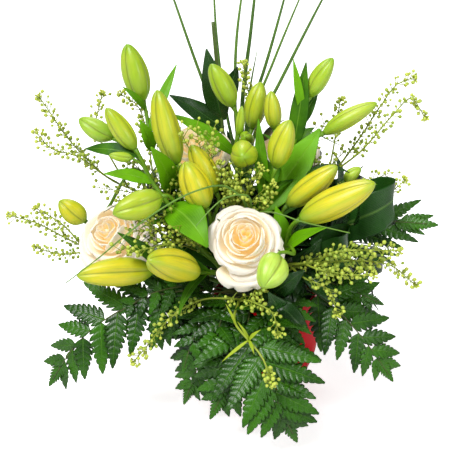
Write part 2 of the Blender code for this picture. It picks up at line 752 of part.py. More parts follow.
def mesh_object(name, lump):
    """An object in the scene with the lump's vertices and faces."""
    mesh = bpy.data.meshes.new(name)
    mesh.from_pydata([tuple(v) for v in lump[0]], [], lump[1])
    made = bpy.data.objects.new(name, mesh)
    bpy.context.scene.collection.objects.link(made)
    return made


def keep_largest(mesh):
    """Drops loose scraps and the skins of sealed hollows: only the largest closed skin stays."""
    shape = bmesh.new()
    shape.from_mesh(mesh)
    bmesh.ops.dissolve_degenerate(shape, dist=DEGENERATE, edges=shape.edges)
    bmesh.ops.dissolve_limit(shape, angle_limit=FLAT_ENOUGH, verts=shape.verts, edges=shape.edges)
    left = set(shape.verts)
    skins = []
    while left:
        grown, edge = set(), {left.pop()}
        while edge:
            vert = edge.pop()
            grown.add(vert)
            edge |= {e.other_vert(vert) for e in vert.link_edges} - grown
        left -= grown
        skins.append(grown)
    largest = max(skins, key=len)
    bmesh.ops.delete(shape, geom=[v for skin in skins if skin is not largest for v in skin], context="VERTS")
    bmesh.ops.triangulate(shape, faces=[f for f in shape.faces if len(f.verts) > 3])
    shape.to_mesh(mesh)
    shape.free()


def combine(name, lumps, operation, solver):
    """The first piece joined with, or cut by, all the others in one step."""
    made = mesh_object(name, lumps[0])
    group = bpy.data.collections.new(name + "_pieces")
    bpy.context.scene.collection.children.link(group)
    for lump in lumps[1:]:
        piece = mesh_object(name + "_piece", lump)
        bpy.context.scene.collection.objects.unlink(piece)
        group.objects.link(piece)
    step = made.modifiers.new(operation.lower(), "BOOLEAN")
    step.operation = operation
    step.operand_type = "COLLECTION"
    step.collection = group
    step.solver = solver
    bpy.context.view_layer.update()
    whole = bpy.data.meshes.new_from_object(made.evaluated_get(bpy.context.evaluated_depsgraph_get()))
    made.modifiers.clear()
    made.data = whole
    for piece in list(group.objects):
        bpy.data.objects.remove(piece)
    bpy.data.collections.remove(group)
    keep_largest(whole)
    return made


def finish_node(name, lumps, look, operation="UNION", solver="EXACT"):
    """One closed object from all the lumps, with its material and shading."""
    made = combine(name, lumps, operation, solver) if len(lumps) > 1 else mesh_object(name, lumps[0])
    made.data.materials.clear()
    made.data.materials.append(look)
    made.data.shade_smooth()
    made.data.set_sharp_from_angle(angle=SMOOTH_ANGLE)


def lathe(profile, sides):
    """A closed turned solid from its outline, which starts and ends with a flat disc on the axis."""
    verts, faces = [], []
    for radius, height in profile:
        for k in range(sides):
            angle = 2 * math.pi * k / sides
            verts.append(Vector((radius * math.cos(angle), radius * math.sin(angle), height)))
    for i in range(len(profile) - 1):
        for k in range(sides):
            n = (k + 1) % sides
            faces.append((i * sides + k, i * sides + n, (i + 1) * sides + n, (i + 1) * sides + k))
    last = (len(profile) - 1) * sides
    faces.append(tuple(reversed(range(sides))))
    faces.append(tuple(last + k for k in range(sides)))
    return verts, faces


def pot_outside():
    """The wall's outer outline, from the foot up to just below the lip."""
    return [(r * POT_RADIUS, h * POT_HEIGHT) for r, h in POT_OUTLINE]


def pot_inside():
    """The wall's inner outline, from the floor up."""
    inside = [(r - POT_WALL, h) for r, h in pot_outside() if h > POT_FLOOR * 1.5]
    floor_radius = inside[0][0] - POT_FLOOR
    return [(floor_radius, POT_FLOOR)] + inside


def build_pot(look):
    lip_radius, lip_height = POT_LIP[0] * POT_RADIUS, POT_LIP[1] * POT_HEIGHT
    lip = [
        (lip_radius, lip_height - LIP_BEVEL),
        (lip_radius - LIP_BEVEL, lip_height),
        (lip_radius - POT_WALL, lip_height),
    ]
    profile = pot_outside() + lip + list(reversed(pot_inside()))
    return finish_node("pot", [lathe(profile, POT_SIDES)], look)


def build_foam(look, stems):
    """The foam block fills the pot, stands up in a dome and has a plain hole for each stem."""
    flat_share = math.cos(math.pi / POT_SIDES)
    inside = [(r * flat_share - GAP, h) for r, h in pot_inside()]
    profile = [(inside[0][0], POT_FLOOR + GAP)] + inside[2:]
    profile.append((profile[-1][0] - FOAM_SHOULDER[0], POT_HEIGHT - FOAM_SHOULDER[1]))
    for k in (1, 3, 5):
        rise = math.radians(90.0 * k / 6)
        profile.append((FOAM_DOME * math.cos(rise), FOCUS.z + FOAM_DOME * math.sin(rise)))
    block = lathe(profile, FOAM_SIDES)
    holes = []
    for way, radius in stems:
        sides = STEM_SIDES if radius > SPRAY_STEM else THIN_SIDES
        ends = [FOCUS + way * (FOAM_DOME - STEM_DEPTH - GAP), FOCUS + way * (STEM_STRAIGHT + HOLE_OVERRUN)]
        holes.append(tube(ends, [radius + HOLE_ROOM / math.cos(math.pi / sides)] * 2, sides))
    return finish_node("floral_foam", [block] + holes, look, operation="DIFFERENCE")


def rooted_path(way, points, last_way=None, steps=2):
    """A stem's line: straight out of the foam from its cut end, then smoothly through its points."""
    leaving = FOCUS + way * STEM_STRAIGHT
    return [FOCUS + way * (FOAM_DOME - STEM_DEPTH)] + smooth_path([leaving] + points, way, last_way, steps)


def nearest_on(lines, pixel):
    """The point and direction, of all lines, that is seen nearest a pixel."""
    best = None
    for path in lines:
        for i in range(1, len(path)):
            for k in range(4):
                point = path[i - 1].lerp(path[i], k / 4)
                u, v = seen(point)
                miss = math.hypot(u - pixel[0], v - pixel[1])
                if best is None or miss < best[0]:
                    best = (miss, point, (path[i] - path[i - 1]).normalized())
    return best[1], best[2]


def above_foam(rods):
    """The lines of a stem and its branches, without the part of the stem that stands in the foam."""
    return [rods[0][0][2:]] + [rod[0] for rod in rods[1:]]


def rod_lumps(rods):
    return [tube(path, tapered(len(path), first, last), sides) for path, first, last, sides in rods]


def lily_skeleton(stem, way):
    """The stem's and pedicels' lines, as (path, first radius, last radius, sides)."""
    first = stem["buds"][0]
    base, tip = spot(first[1]), spot(first[2])
    axis = (tip - base).normalized()
    main = rooted_path(way, [spot(p) for p in stem["route"]] + [base - axis * END_RUN], axis)
    rods = [(main + [base - axis * GAP], LILY_STEM, LILY_TOP, STEM_SIDES)]
    for _, base_place, tip_place, _, fork, via, _ in stem["buds"][1:]:
        base, tip = spot(base_place), spot(tip_place)
        axis = (tip - base).normalized()
        start, start_way = nearest_on([main[2:]], fork)
        path = smooth_path([start] + [spot(p) for p in via] + [base - axis * END_RUN], start_way, axis, 2)
        rods.append((path + [base - axis * GAP], PEDICEL, PEDICEL, THIN_SIDES))
    for base_place, tip_place, _, fork in stem["small"]:
        base, tip = spot(base_place), spot(tip_place)
        start = nearest_on([main[2:]], fork)[0]
        path = smooth_path([start, base], None, (tip - base).normalized(), 2)
        rods.append((path, SMALL_PEDICEL, SMALL_PEDICEL, THIN_SIDES))
    return rods


def leaf_facing(tip):
    """A leaf of the front looks at the eye and up; one of the back looks outward and up."""
    if tip.y < BACK_FROM:
        return (TO_EYE + Vector((0.0, 0.0, 0.6))).normalized()
    return ((tip - FOCUS).normalized() + UP).normalized()


def build_lily(name, stem, rods, look):
    lumps = rod_lumps(rods)
    for base, tip, width, _ in stem["small"]:
        start, end = spot(base), spot(tip)
        size = real_width(width, start)
        lumps.append(bud(start - (end - start) * 0.03, end, size, SMALL_BUD_FORM, SMALL_BUD_SIDES))
    for root_pixel, tip_place, width, bow in stem["leaves"]:
        tip = spot(tip_place)
        root = nearest_on(above_foam(rods), root_pixel)[0]
        rows = 4 if width > NARROW_LEAF else 3
        lumps.append(leaf(root, tip, real_width(width, tip), bow * 0.001, leaf_facing(tip), rows))
        claim(lumps[-1], name)
    finish_node(name, lumps, look)


def build_roses(bases, ways, petal_look, leaf_look):
    for key, bloom in ROSES.items():
        bloom_name, stem_name = "rose_bloom_" + key, "rose_stem_" + key
        base, petals = bases[key]
        for lump in petals:
            claim(lump, bloom_name)
        finish_node(bloom_name, petals, petal_look)
        axis = Vector(bloom["faces"]).normalized()
        path = rooted_path(ways[stem_name], [base - axis * ROSE_NECK], axis, 4) + [base - axis * GAP]
        lumps = [tube(path, [ROSE_STEM] * (len(path) - 1) + [ROSE_TOP], STEM_SIDES)]
        root = base - axis * SEPAL_DROP
        for k in range(SEPALS):
            out = Quaternion(axis, 2 * math.pi * k / SEPALS) @ axis.orthogonal().normalized()
            lumps.append(tube([root + out * far - axis * down for far, down in SEPAL_LINE], SEPAL_RADII, 3))
        for lump in lumps:
            claim(lump, stem_name)
        finish_node(stem_name, lumps, leaf_look)


class Rachis:
    """A frond's middle line by length, with the frond's own directions along it."""

    def __init__(self, line, facing):
        self.line, self.facing = line, facing
        self.lengths = [0.0]
        for a, b in zip(line, line[1:]):
            self.lengths.append(self.lengths[-1] + (b - a).length)

    def at(self, along):
        last = len(self.line) - 2
        k = min(last, max([j for j in range(last + 1) if self.lengths[j] <= along], default=0))
        share = (along - self.lengths[k]) / (self.lengths[k + 1] - self.lengths[k])
        way = (self.line[k + 1] - self.line[k]).normalized()
        normal = (self.facing - way * self.facing.dot(way)).normalized()
        return self.line[k].lerp(self.line[k + 1], share), (way, normal.cross(way), normal)


def frond_pinnae(name, frond, rachis):
    """Pinnae in pairs, longest near the foot; one that would meet another piece is lifted or bent down."""
    length = rachis.lengths[-1]
    start = length * FROND_BARE
    step = (length - start) / frond["pairs"]
    longest = real_width(frond["longest"], rachis.line[-1])
    found = {-1: [], 1: []}
    for i in range(frond["pairs"]):
        share = (i + 0.4) / frond["pairs"]
        turn = math.radians(64.0 - 22.0 * share)
        size = longest * min(1.0, 0.8 + 1.2 * share) * (1.0 - 0.80 * share ** 1.25)
        half = min(size * 0.2, 0.45 * step * math.sin(turn))
        teeth = 3 if size > LONG_PINNA else 2
        for hand in (-1, 1):
            along = start + step * (i + (0.3 if hand < 0 else 0.55))
            foot, frame = rachis.at(along)
            for lift in PINNA_LIFTS:
                made = Pinna(foot, along, frame, turn, hand, size, half, teeth, math.radians(lift))
                if is_free(flat_slab(*made.outline(rachis.at), BLADE + 2 * CLEAR), name):
                    found[hand].append(made)
                    break
    return found


def frond_outline(name, frond, rachis):
    """The whole blade's outline: up the left pinnae, round the tip and down the right ones."""
    found = frond_pinnae(name, frond, rachis)
    length = rachis.lengths[-1]
    start = length * FROND_BARE - 0.004
    flat, points, normals = [], [], []

    def add(along, hand, reach):
        place, (_, side, normal) = rachis.at(along)
        flat.append(Vector((along, hand * reach, 0.0)))
        points.append(place + side * (hand * reach))
        normals.append(normal)

    add(start, -1, RACHIS_HALF)
    for made in found[-1]:
        for store, part in zip((flat, points, normals), made.outline(rachis.at)):
            store.extend(part)
    tip_length = real_width(frond["longest"], rachis.line[-1]) * FROND_TIP
    tip = [(s * tip_length, w * tip_length * FROND_TIP_WIDTH) for s, w in pinna_edge(2)]
    add(length - 0.001, -1, RACHIS_HALF * 0.8)
    for s, w in tip:
        add(length + s, -1, w)
    add(length + tip_length, 1, 0.0)
    for s, w in reversed(tip):
        add(length + s, 1, w)
    add(length - 0.001, 1, RACHIS_HALF * 0.8)
    for made in reversed(found[1]):
        for store, part in zip((flat, points, normals), made.outline(rachis.at)):
            store.extend(reversed(part))
    add(start, 1, RACHIS_HALF)
    return start, (flat, points, normals)


def build_fern(name, frond, path, look):
    """A frond is one thin arched blade cut to its rib, on a slim round stalk."""
    rachis = Rachis(path[2:], Vector(frond["faces"]).normalized())
    start, outline = frond_outline(name, frond, rachis)
    blade = flat_slab(*outline, BLADE)
    line = path[:2] + [p for p, along in zip(rachis.line, rachis.lengths) if along < start]
    line += [rachis.at(start + 0.002)[0], rachis.at(start + 0.008)[0]]
    stalk = tube(line, tapered(len(line) - 1, FERN_STEM, FERN_TOP) + [FERN_END], THIN_SIDES)
    claim(blade, name)
    finish_node(name, [stalk, blade], look)


def spray_skeleton(spray, way):
    rods = [(rooted_path(way, [spot(p) for p in spray["route"]]), SPRAY_STEM, SPRAY_TOP, THIN_SIDES)]
    for fork, route, _, _ in spray["branches"]:
        start, start_way = nearest_on(above_foam(rods), fork)
        path = smooth_path([start] + [spot(p) for p in route], start_way, None, 1)
        rods.append((path, TWIG, TWIG_END, TWIG_SIDES))
    return rods


def build_spray(name, spray, rods, look, chance):
    """Branches set round with small pods; a pod that would meet another piece is turned or left out."""
    lumps = rod_lumps(rods)
    for (path, _, _, _), (_, _, begin, pods) in zip(rods[1:], spray["branches"]):
        steps = len(path) - 1
        for k in range(pods):
            place = steps * (begin + (1.0 - begin) * (k + 0.6) / pods)
            i = min(int(place), steps - 1)
            here = path[i].lerp(path[i + 1], place - i)
            way, side, across = frames(path)[i]
            for turn in range(3):
                angle = POD_TURN * (k + turn + 0.5) + chance.uniform(-POD_SWAY, POD_SWAY)
                level = side * math.cos(angle) + across * math.sin(angle)
                out = (way * POD_PITCH + level).normalized()
                length, size = chance.uniform(*POD_LENGTHS), chance.uniform(*POD_SIZES)
                if is_free(pod(here, out, length, size, CLEAR), name):
                    lumps.append(pod(here, out, length, size))
                    claim(lumps[-1], name)
                    break
    finish_node(name, lumps, look, solver="MANIFOLD")


def grass_skeleton(bunch, way):
    main = rooted_path(way, [spot(p) for p in bunch["route"]])
    rods = [(main, GRASS_BUNCH, GRASS_BUNCH_TOP, STEM_SIDES)]
    root = main[-2].lerp(main[-1], 0.6)
    end_way = (main[-1] - main[-2]).normalized()
    for route, width in bunch["blades"]:
        path = smooth_path([root] + [spot(p) for p in route], end_way, None, bunch["steps"])
        rods.append((path, real_width(width, root) / 2, GRASS_TIP, TWIG_SIDES))
    return rods


def band(path, width, facing):
    """A ribbon along a looped line, its width across the view, narrowed to both ends."""
    points, normals = [], []
    last = len(path) - 1
    for i, point in enumerate(path):
        way = (path[min(i + 1, last)] - path[max(i - 1, 0)]).normalized()
        side = (facing - way * facing.dot(way)).normalized()
        normal = way.cross(side)
        spread = width / 2 * max(0.12, math.sin(math.pi * (0.06 + 0.90 * i / last)) ** 0.6)
        for k in (-1, 0, 1):
            points.append(point + side * spread * k - normal * (1 - abs(k)) * spread * 0.08)
            normals.append(normal)
    sheet = slab(points, normals, strip_faces(len(path), 3, False), BLADE)
    return sheet if signed_volume(sheet) > 0 else turned_out(sheet)


def build_aspidistra(name, entry, way, look):
    """One long leaf bent round into a loop, on its stalk."""
    stalk = rooted_path(way, [spot(p) for p in entry["stalk"]] + [spot(entry["blade"][0])])
    blade = smooth_path([stalk[-2]] + [spot(p) for p in entry["blade"]], None, None, 1)
    lumps = [
        tube(stalk, tapered(len(stalk), LEAF_STALK, LEAF_STALK_TOP), STEM_SIDES),
        band(blade, real_width(entry["width"], blade[3]), UP),
    ]
    for lump in lumps:
        claim(lump, name)
    finish_node(name, lumps, look)


def build_ruscus(way, look):
    """A thick stalk cut off at its top, with a few broad leaves."""
    line = rooted_path(way, [spot(p) for p in RUSCUS_ROUTE])
    lumps = [tube(line, tapered(len(line), RUSCUS_STEM, RUSCUS_TOP), STEM_SIDES)]
    for root_pixel, tip_place, width, bow, faces_way in RUSCUS_LEAVES:
        root = nearest_on([line[2:]], root_pixel)[0]
        tip = spot(tip_place)
        lumps.append(leaf(root, tip, real_width(width, tip), bow * 0.001, Vector(faces_way).normalized()))
    for lump in lumps:
        claim(lump, "ruscus_stem")
    finish_node("ruscus_stem", lumps, look)


def build_buds():
    for stem in LILIES.values():
        for name, base_place, tip_place, width, _, _, shade in stem["buds"]:
            base, tip = spot(base_place), spot(tip_place)
            lump = bud(base, tip, real_width(width, base))
            claim(lump, name)
            colour = [a + (b - a) * shade for a, b in zip(BUD_GREEN, BUD_YELLOW)]
            finish_node(name, [lump], material(name, colour, 0.45))


def stems_in_foam(bases):
    """Each stem's first point above the foam, and its radius there."""
    stems = {name: (spot(stem["route"][0]), LILY_STEM) for name, stem in LILIES.items()}
    for key, (base, _) in bases.items():
        stems["rose_stem_" + key] = (base, ROSE_STEM)
    for group, radius in ((FERNS, FERN_STEM), (SPRAYS, SPRAY_STEM), (GRASS, GRASS_BUNCH)):
        for name, entry in group.items():
            stems[name] = (spot(entry["route"][0]), radius)
    stems["ruscus_stem"] = (spot(RUSCUS_ROUTE[0]), RUSCUS_STEM)
    for name, entry in ASPIDISTRA.items():
        stems[name] = (spot(entry["stalk"][0]), LEAF_STALK)
    return stems


def remove_everything():
    for found in list(bpy.data.objects):
        bpy.data.objects.remove(found)


def main():
    remove_everything()
    chance = random.Random(SEED)
    bases = {}
    for key, bloom in ROSES.items():
        middle = spot(bloom["middle"])
        axis = Vector(bloom["faces"]).normalized()
        bases[key] = rose(middle, axis, real_width(bloom["width"], middle), bloom["petals"])
    stems = stems_in_foam(bases)
    ways = foam_entries(stems)

    leaf_green = material("lily_leaf", GREEN, 0.4)
    dark_green = material("dark_leaf", DARK_GREEN, 0.35)
    pod_green = material("pods", POD_GREEN, 0.5)
    build_pot(material("red_glaze", POT_RED, 0.12))
    build_foam(material("wet_foam", FOAM_GREEN, 0.9), [(ways[name], stems[name][1]) for name in stems])

    lily_rods = {name: lily_skeleton(stem, ways[name]) for name, stem in LILIES.items()}
    spray_rods = {name: spray_skeleton(spray, ways[name]) for name, spray in SPRAYS.items()}
    grass_rods = {name: grass_skeleton(bunch, ways[name]) for name, bunch in GRASS.items()}
    fern_paths = {}
    for name, frond in FERNS.items():
        fern_paths[name] = rooted_path(ways[name], [spot(p) for p in frond["route"]] + [spot(frond["tip"])])
        claim(tube(fern_paths[name], tapered(len(fern_paths[name]), FERN_STEM, FERN_END), THIN_SIDES), name)
    for skeletons in (lily_rods, spray_rods, grass_rods):
        for name, rods in skeletons.items():
            for lump in rod_lumps(rods):
                claim(lump, name)

    build_buds()
    build_roses(bases, ways, material("rose_petal", CREAM, 0.6), leaf_green)
    for name, entry in ASPIDISTRA.items():
        build_aspidistra(name, entry, ways[name], dark_green)
    build_ruscus(ways["ruscus_stem"], dark_green)
    for name, rods in grass_rods.items():
        finish_node(name, rod_lumps(rods), material(name, GRASS_GREEN, 0.5))
    for name, stem in LILIES.items():
        build_lily(name, stem, lily_rods[name], leaf_green)
    for name, frond in FERNS.items():
        build_fern(name, frond, fern_paths[name], material(name, FERN_GREEN, 0.35))
    for name, spray in SPRAYS.items():
        build_spray(name, spray, spray_rods[name], pod_green, chance)


main()
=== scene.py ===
import math
import bpy
import numpy as np
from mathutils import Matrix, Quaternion, Vector
from mathutils.bvhtree import BVHTree


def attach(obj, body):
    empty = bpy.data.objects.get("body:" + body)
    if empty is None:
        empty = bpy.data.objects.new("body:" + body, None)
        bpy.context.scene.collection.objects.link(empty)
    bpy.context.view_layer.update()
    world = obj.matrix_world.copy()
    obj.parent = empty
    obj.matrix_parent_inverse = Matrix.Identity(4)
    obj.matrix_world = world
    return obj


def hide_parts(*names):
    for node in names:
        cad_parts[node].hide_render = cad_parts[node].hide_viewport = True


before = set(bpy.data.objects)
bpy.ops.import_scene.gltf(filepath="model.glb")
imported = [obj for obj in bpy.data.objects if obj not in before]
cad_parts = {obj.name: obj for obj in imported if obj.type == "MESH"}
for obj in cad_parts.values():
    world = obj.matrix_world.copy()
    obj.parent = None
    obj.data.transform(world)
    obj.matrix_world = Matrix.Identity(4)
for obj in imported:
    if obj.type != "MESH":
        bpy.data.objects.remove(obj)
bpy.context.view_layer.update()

print("frame loaded:", len(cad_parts), "nodes")

# A place in the foliage is (u, v, depth): the pixel of the front view, and millimetres behind (+) or before
# (-) the pot's axis. Widths in pixels are along the view too.
view = {
    "pixel": 0.00115,        # metres a pixel, in the plane of the pot's axis
    "tilt": math.radians(20.0),
    "distance": 1.7,
    "middle": (225.0, 225.0),
    "foot": (264.0, 382.0),  # where the middle of the pot's foot is seen
    "imageSize": 450,
}
lookWay = Vector((0.0, math.cos(view["tilt"]), -math.sin(view["tilt"])))
rightWay = Vector((1.0, 0.0, 0.0))
upWay = Vector((0.0, math.sin(view["tilt"]), math.cos(view["tilt"])))

pot = {
    "height": 0.118,
    "radius": 0.063,
    "outline": [(0.54, 0.0), (0.73, 0.13), (0.93, 0.34), (1.0, 0.56), (0.98, 0.80)],
    "lip": 0.95,   # its radius, against the widest
    "lipBevel": 0.0017,
    "wall": 0.004,
    "floor": 0.006,
    "sides": 120,
}
foam = {
    "focus": Vector((0.0, 0.0, 0.112)),  # where the lines of the stems' holes meet
    "dome": 0.050,
    "stemDepth": 0.023,
    "straight": 0.060,                   # from the focus, before a stem may bend
    "holeRoom": 0.00035,
    "wallBetween": 0.0009,               # foam kept round each hole, so twice this between two
    "lowestEntry": math.radians(14.0),
    "pushes": 400,
}
stemSize = {
    "lily": 0.0032, "lilyTop": 0.0022, "pedicel": 0.0020, "smallPedicel": 0.0014,
    "rose": 0.0026, "fern": 0.0015, "fernTop": 0.0009, "spray": 0.0018, "sprayTop": 0.0011,
    "twig": 0.0011, "twigEnd": 0.0005, "grass": 0.0028, "ruscus": 0.0024, "ruscusTop": 0.0021,
    "aspidistra": 0.0020, "aspidistraTop": 0.0015, "gap": 0.0003, "endRun": 0.005,
}

# Lily stems: the route ends at the first bud, whose fork is None. A bud is (name, base, tip, width, fork
# pixel, places on the way, shade from green 0 to yellow 1). A small bud is (base, tip, width, fork pixel) and
# grows as part of the stem. A leaf is (root pixel, tip, width, how far its middle rises in millimetres).
lilyStems = {
    "lily_stem_1": {
        "route": [(222, 250, -40), (192, 225, -38), (168, 190, -34), (153, 150, -24)],
        "buds": [
            ("lily_bud_01", (143, 100, 0), (127, 44, 5), 26, None, [], 0.15),
            ("lily_bud_02", (177, 163, -48), (157, 90, -38), 27, (182, 210), [], 0.6),
            ("lily_bud_03", (206, 207, -82), (185, 162, -80), 30, (222, 250), [], 0.95),
            ("lily_bud_04", (216, 192, -54), (191, 145, -48), 24, (212, 243), [], 0.9),
        ],
        "small": [],
        "leaves": [
            ((168, 196), (153, 148, -88), 23, 6),
            ((144, 108), (123, 86, -14), 7, 4),
            ((152, 150), (140, 120, -38), 12, 4),
            ((150, 132), (176, 63, 20), 10, 4),
        ],
    },
    "lily_stem_2": {
        "route": [(215, 262, -62), (195, 243, -70), (177, 215, -72), (152, 182, -66)],
        "buds": [
            ("lily_bud_05", (135, 149, -58), (106, 108, -50), 20, None, [], 0.35),
            ("lily_bud_06", (113, 138, -25), (79, 119, -18), 20, (150, 180), [], 0.3),
            ("lily_bud_07", (161, 197, -96), (113, 214, -122), 28, (180, 220), [], 0.3),
            ("lily_bud_08", (85, 221, -6), (59, 201, -8), 22, (150, 180), [(120, 186, 4)], 0.8),
        ],
        "small": [((132, 158, -64), (109, 155, -68), 10, (146, 172))],
        "leaves": [
            ((152, 184), (104, 173, -78), 13, 5),
            ((140, 158), (84, 147, -31), 14, 5),
            ((172, 206), (208, 246, -128), 35, 10),
        ],
    },
    "lily_stem_3": {
        "route": [(248, 215, -20), (240, 190, -8), (236, 150, 0)],
        "buds": [
            ("lily_bud_09", (233, 106, 8), (211, 64, 12), 22, None, [], 0.15),
            ("lily_bud_10", (252, 128, 18), (261, 82, 24), 22, (237, 160), [], 0.4),
            ("lily_bud_11", (243, 152, -24), (243, 157, -78), 27, (241, 192), [], 0.35),
        ],
        "small": [
            ((239, 134, -8), (242, 106, -5), 9, (237, 155)),
            ((248, 141, 2), (245, 136, -22), 15, (238, 170)),
        ],
        "leaves": [((237, 155), (172, 113, -22), 15, 4)],
    },
    "lily_stem_4": {
        "route": [(262, 240, -40), (262, 206, -46), (270, 183, -48)],
        "buds": [
            ("lily_bud_12", (276, 167, -50), (290, 120, -52), 25, None, [], 0.6),
            ("lily_bud_13", (275, 129, -8), (271, 91, -5), 17, (262, 206), [], 0.55),
        ],
        "small": [],
        "leaves": [
            ((262, 212), (320, 127, -16), 32, -3),
            ((262, 202), (259, 118, -24), 12, 4),
            ((270, 182), (253, 167, -62), 7, 3),
        ],
    },
    "lily_stem_5": {
        "route": [(275, 215, -8), (285, 180, -8), (298, 132, -8)],
        "buds": [
            ("lily_bud_14", (310, 96, -4), (333, 58, -2), 19, None, [], 0.1),
            ("lily_bud_15", (324, 133, -14), (377, 103, -12), 18, (290, 160), [], 0.25),
        ],
        "small": [],
        "leaves": [
            ((294, 150), (306, 62, -6), 16, 4),
            ((302, 116), (294, 59, -14), 8, 3),
            ((300, 128), (318, 92, 10), 11, 3),
        ],
    },
    "lily_stem_6": {
        "route": [(285, 250, -70), (289, 232, -84)],
        "buds": [
            ("lily_bud_16", (301, 219, -95), (375, 183, -112), 30, None, [], 0.95),
            ("lily_bud_17", (288, 205, -60), (337, 166, -72), 24, (284, 250), [], 0.9),
            ("lily_bud_18", (277, 257, -148), (264, 287, -186), 31, (285, 248), [(293, 254, -126)], 0.45),
        ],
        "small": [((345, 180, -42), (361, 168, -42), 12, (284, 250))],
        "leaves": [
            ((272, 268), (323, 226, -136), 18, 8),
            ((345, 181), (378, 184, -36), 6, 3),
            ((284, 244), (276, 207, -84), 17, 4),
        ],
    },
    "lily_stem_7": {
        "route": [(232, 275, -62), (215, 273, -82)],
        "buds": [
            ("lily_bud_19", (197, 272, -104), (148, 260, -162), 32, None, [], 0.9),
            ("lily_bud_20", (153, 270, -94), (77, 276, -118), 28, (222, 274), [(188, 267, -84)], 0.95),
        ],
        "small": [],
        "leaves": [((165, 268), (118, 232, -102), 12, 4)],
    },
    "lily_stem_8": {
        "route": [(262, 215, 60), (256, 200, 85)],
        "buds": [
            ("lily_bud_21", (226, 186, 105), (204, 142, 122), 26, None, [], 0.5),
            ("lily_bud_22", (285, 190, 108), (304, 145, 122), 26, (260, 208), [], 0.7),
        ],
        "small": [((250, 172, 112), (249, 148, 120), 12, (256, 200))],
        "leaves": [
            ((256, 200), (180, 190, 150), 20, -5),
            ((262, 215), (335, 190, 150), 22, -5),
            ((240, 192), (248, 140, 150), 16, -5),
        ],
    },
}

# Roses: the middle of the bloom, the way it faces, its width in pixels and its petals. The cup is moved
# right and up from the CAD's, in metres. The lowest petals hang at these degrees from straight down, each
# this half width
roseBlooms = {
    "1": {
        "middle": (245, 246, -118), "faces": (-0.04, -0.88, 0.48), "width": 76, "petals": 25,
        "size": 0.95, "moved": (0.0, 0.006), "hanging": (-16, 10, 28), "hangHalf": 36,
        "warmth": 1.0, "look": "petal",
    },
    "2": {
        "middle": (116, 236, -44), "faces": (-0.45, -0.62, 0.64), "width": 74, "petals": 24,
        "size": 1.0, "moved": (-0.004, 0.0), "hanging": (-60, 5, 75), "hangHalf": 50,
        "warmth": 1.0, "look": "petal",
    },
    "3": {
        "middle": (194, 150, 22), "faces": (-0.15, -0.55, 0.82), "width": 66, "petals": 20,
        "size": 1.0, "moved": (0.0, 0.0), "hanging": (0, 120, 240), "hangHalf": 50,
        "warmth": 0.5, "look": "peach",
    },
    "4": {
        "middle": (291, 150, 42), "faces": (0.15, -0.55, 0.82), "width": 58, "petals": 20,
        "size": 1.0, "moved": (0.0, 0.0), "hanging": (0, 120, 240), "hangHalf": 50,
        "warmth": 1.0, "look": "petal",
    },
}

# Fern fronds: the rachis route, pairs of pinnae, the longest pinna in pixels, and the side that faces out.
# Some give the pinnae's own turns from the rachis, at its foot and at its tip, and how slim they are
fernFronds = {
    "fern_frond_1": {
        "route": [(200, 290, -72), (158, 295, -92), (125, 308, -104), (99, 324, -110), (75, 346, -112)],
        "tip": (53, 379, -108), "pairs": 7, "longest": 66, "faces": (-0.15, -0.85, 0.5),
    },
    "fern_frond_2": {
        "route": [(250, 316, -112), (256, 345, -148), (268, 376, -172), (280, 408, -188)],
        "tip": (293, 434, -184), "pairs": 7, "longest": 80, "faces": (0.0, -0.9, 0.42),
    },
    "fern_frond_3": {
        "route": [(222, 302, -88), (208, 330, -108), (200, 360, -116)],
        "tip": (186, 398, -118), "pairs": 6, "longest": 52, "faces": (-0.2, -0.85, 0.5),
    },
    "fern_frond_4": {
        "route": [(295, 284, -70), (321, 297, -96), (345, 318, -110), (368, 345, -118)],
        "tip": (389, 375, -118), "pairs": 6, "longest": 60, "faces": (0.15, -0.85, 0.5),
    },
    "fern_frond_5": {
        "route": [(305, 250, 0), (345, 226, -2), (375, 222, -6), (402, 222, -10)],
        "tip": (427, 224, -14), "pairs": 3, "longest": 74, "faces": (0.1, -0.85, 0.5),
        "turns": (50, 10), "slim": 0.72,
    },
    "fern_frond_6": {
        "route": [(252, 300, -98), (246, 335, -134), (234, 370, -152)],
        "tip": (214, 411, -160), "pairs": 6, "longest": 66, "faces": (-0.1, -0.9, 0.42),
    },
    "fern_frond_7": {
        "route": [(205, 255, 70), (165, 245, 115), (130, 248, 145)],
        "tip": (100, 262, 165), "pairs": 4, "longest": 56, "faces": (-0.2, 0.5, 0.84),
    },
    "fern_frond_8": {
        "route": [(300, 252, 70), (335, 242, 115), (362, 246, 142)],
        "tip": (390, 262, 160), "pairs": 4, "longest": 56, "faces": (0.2, 0.5, 0.84),
    },
}

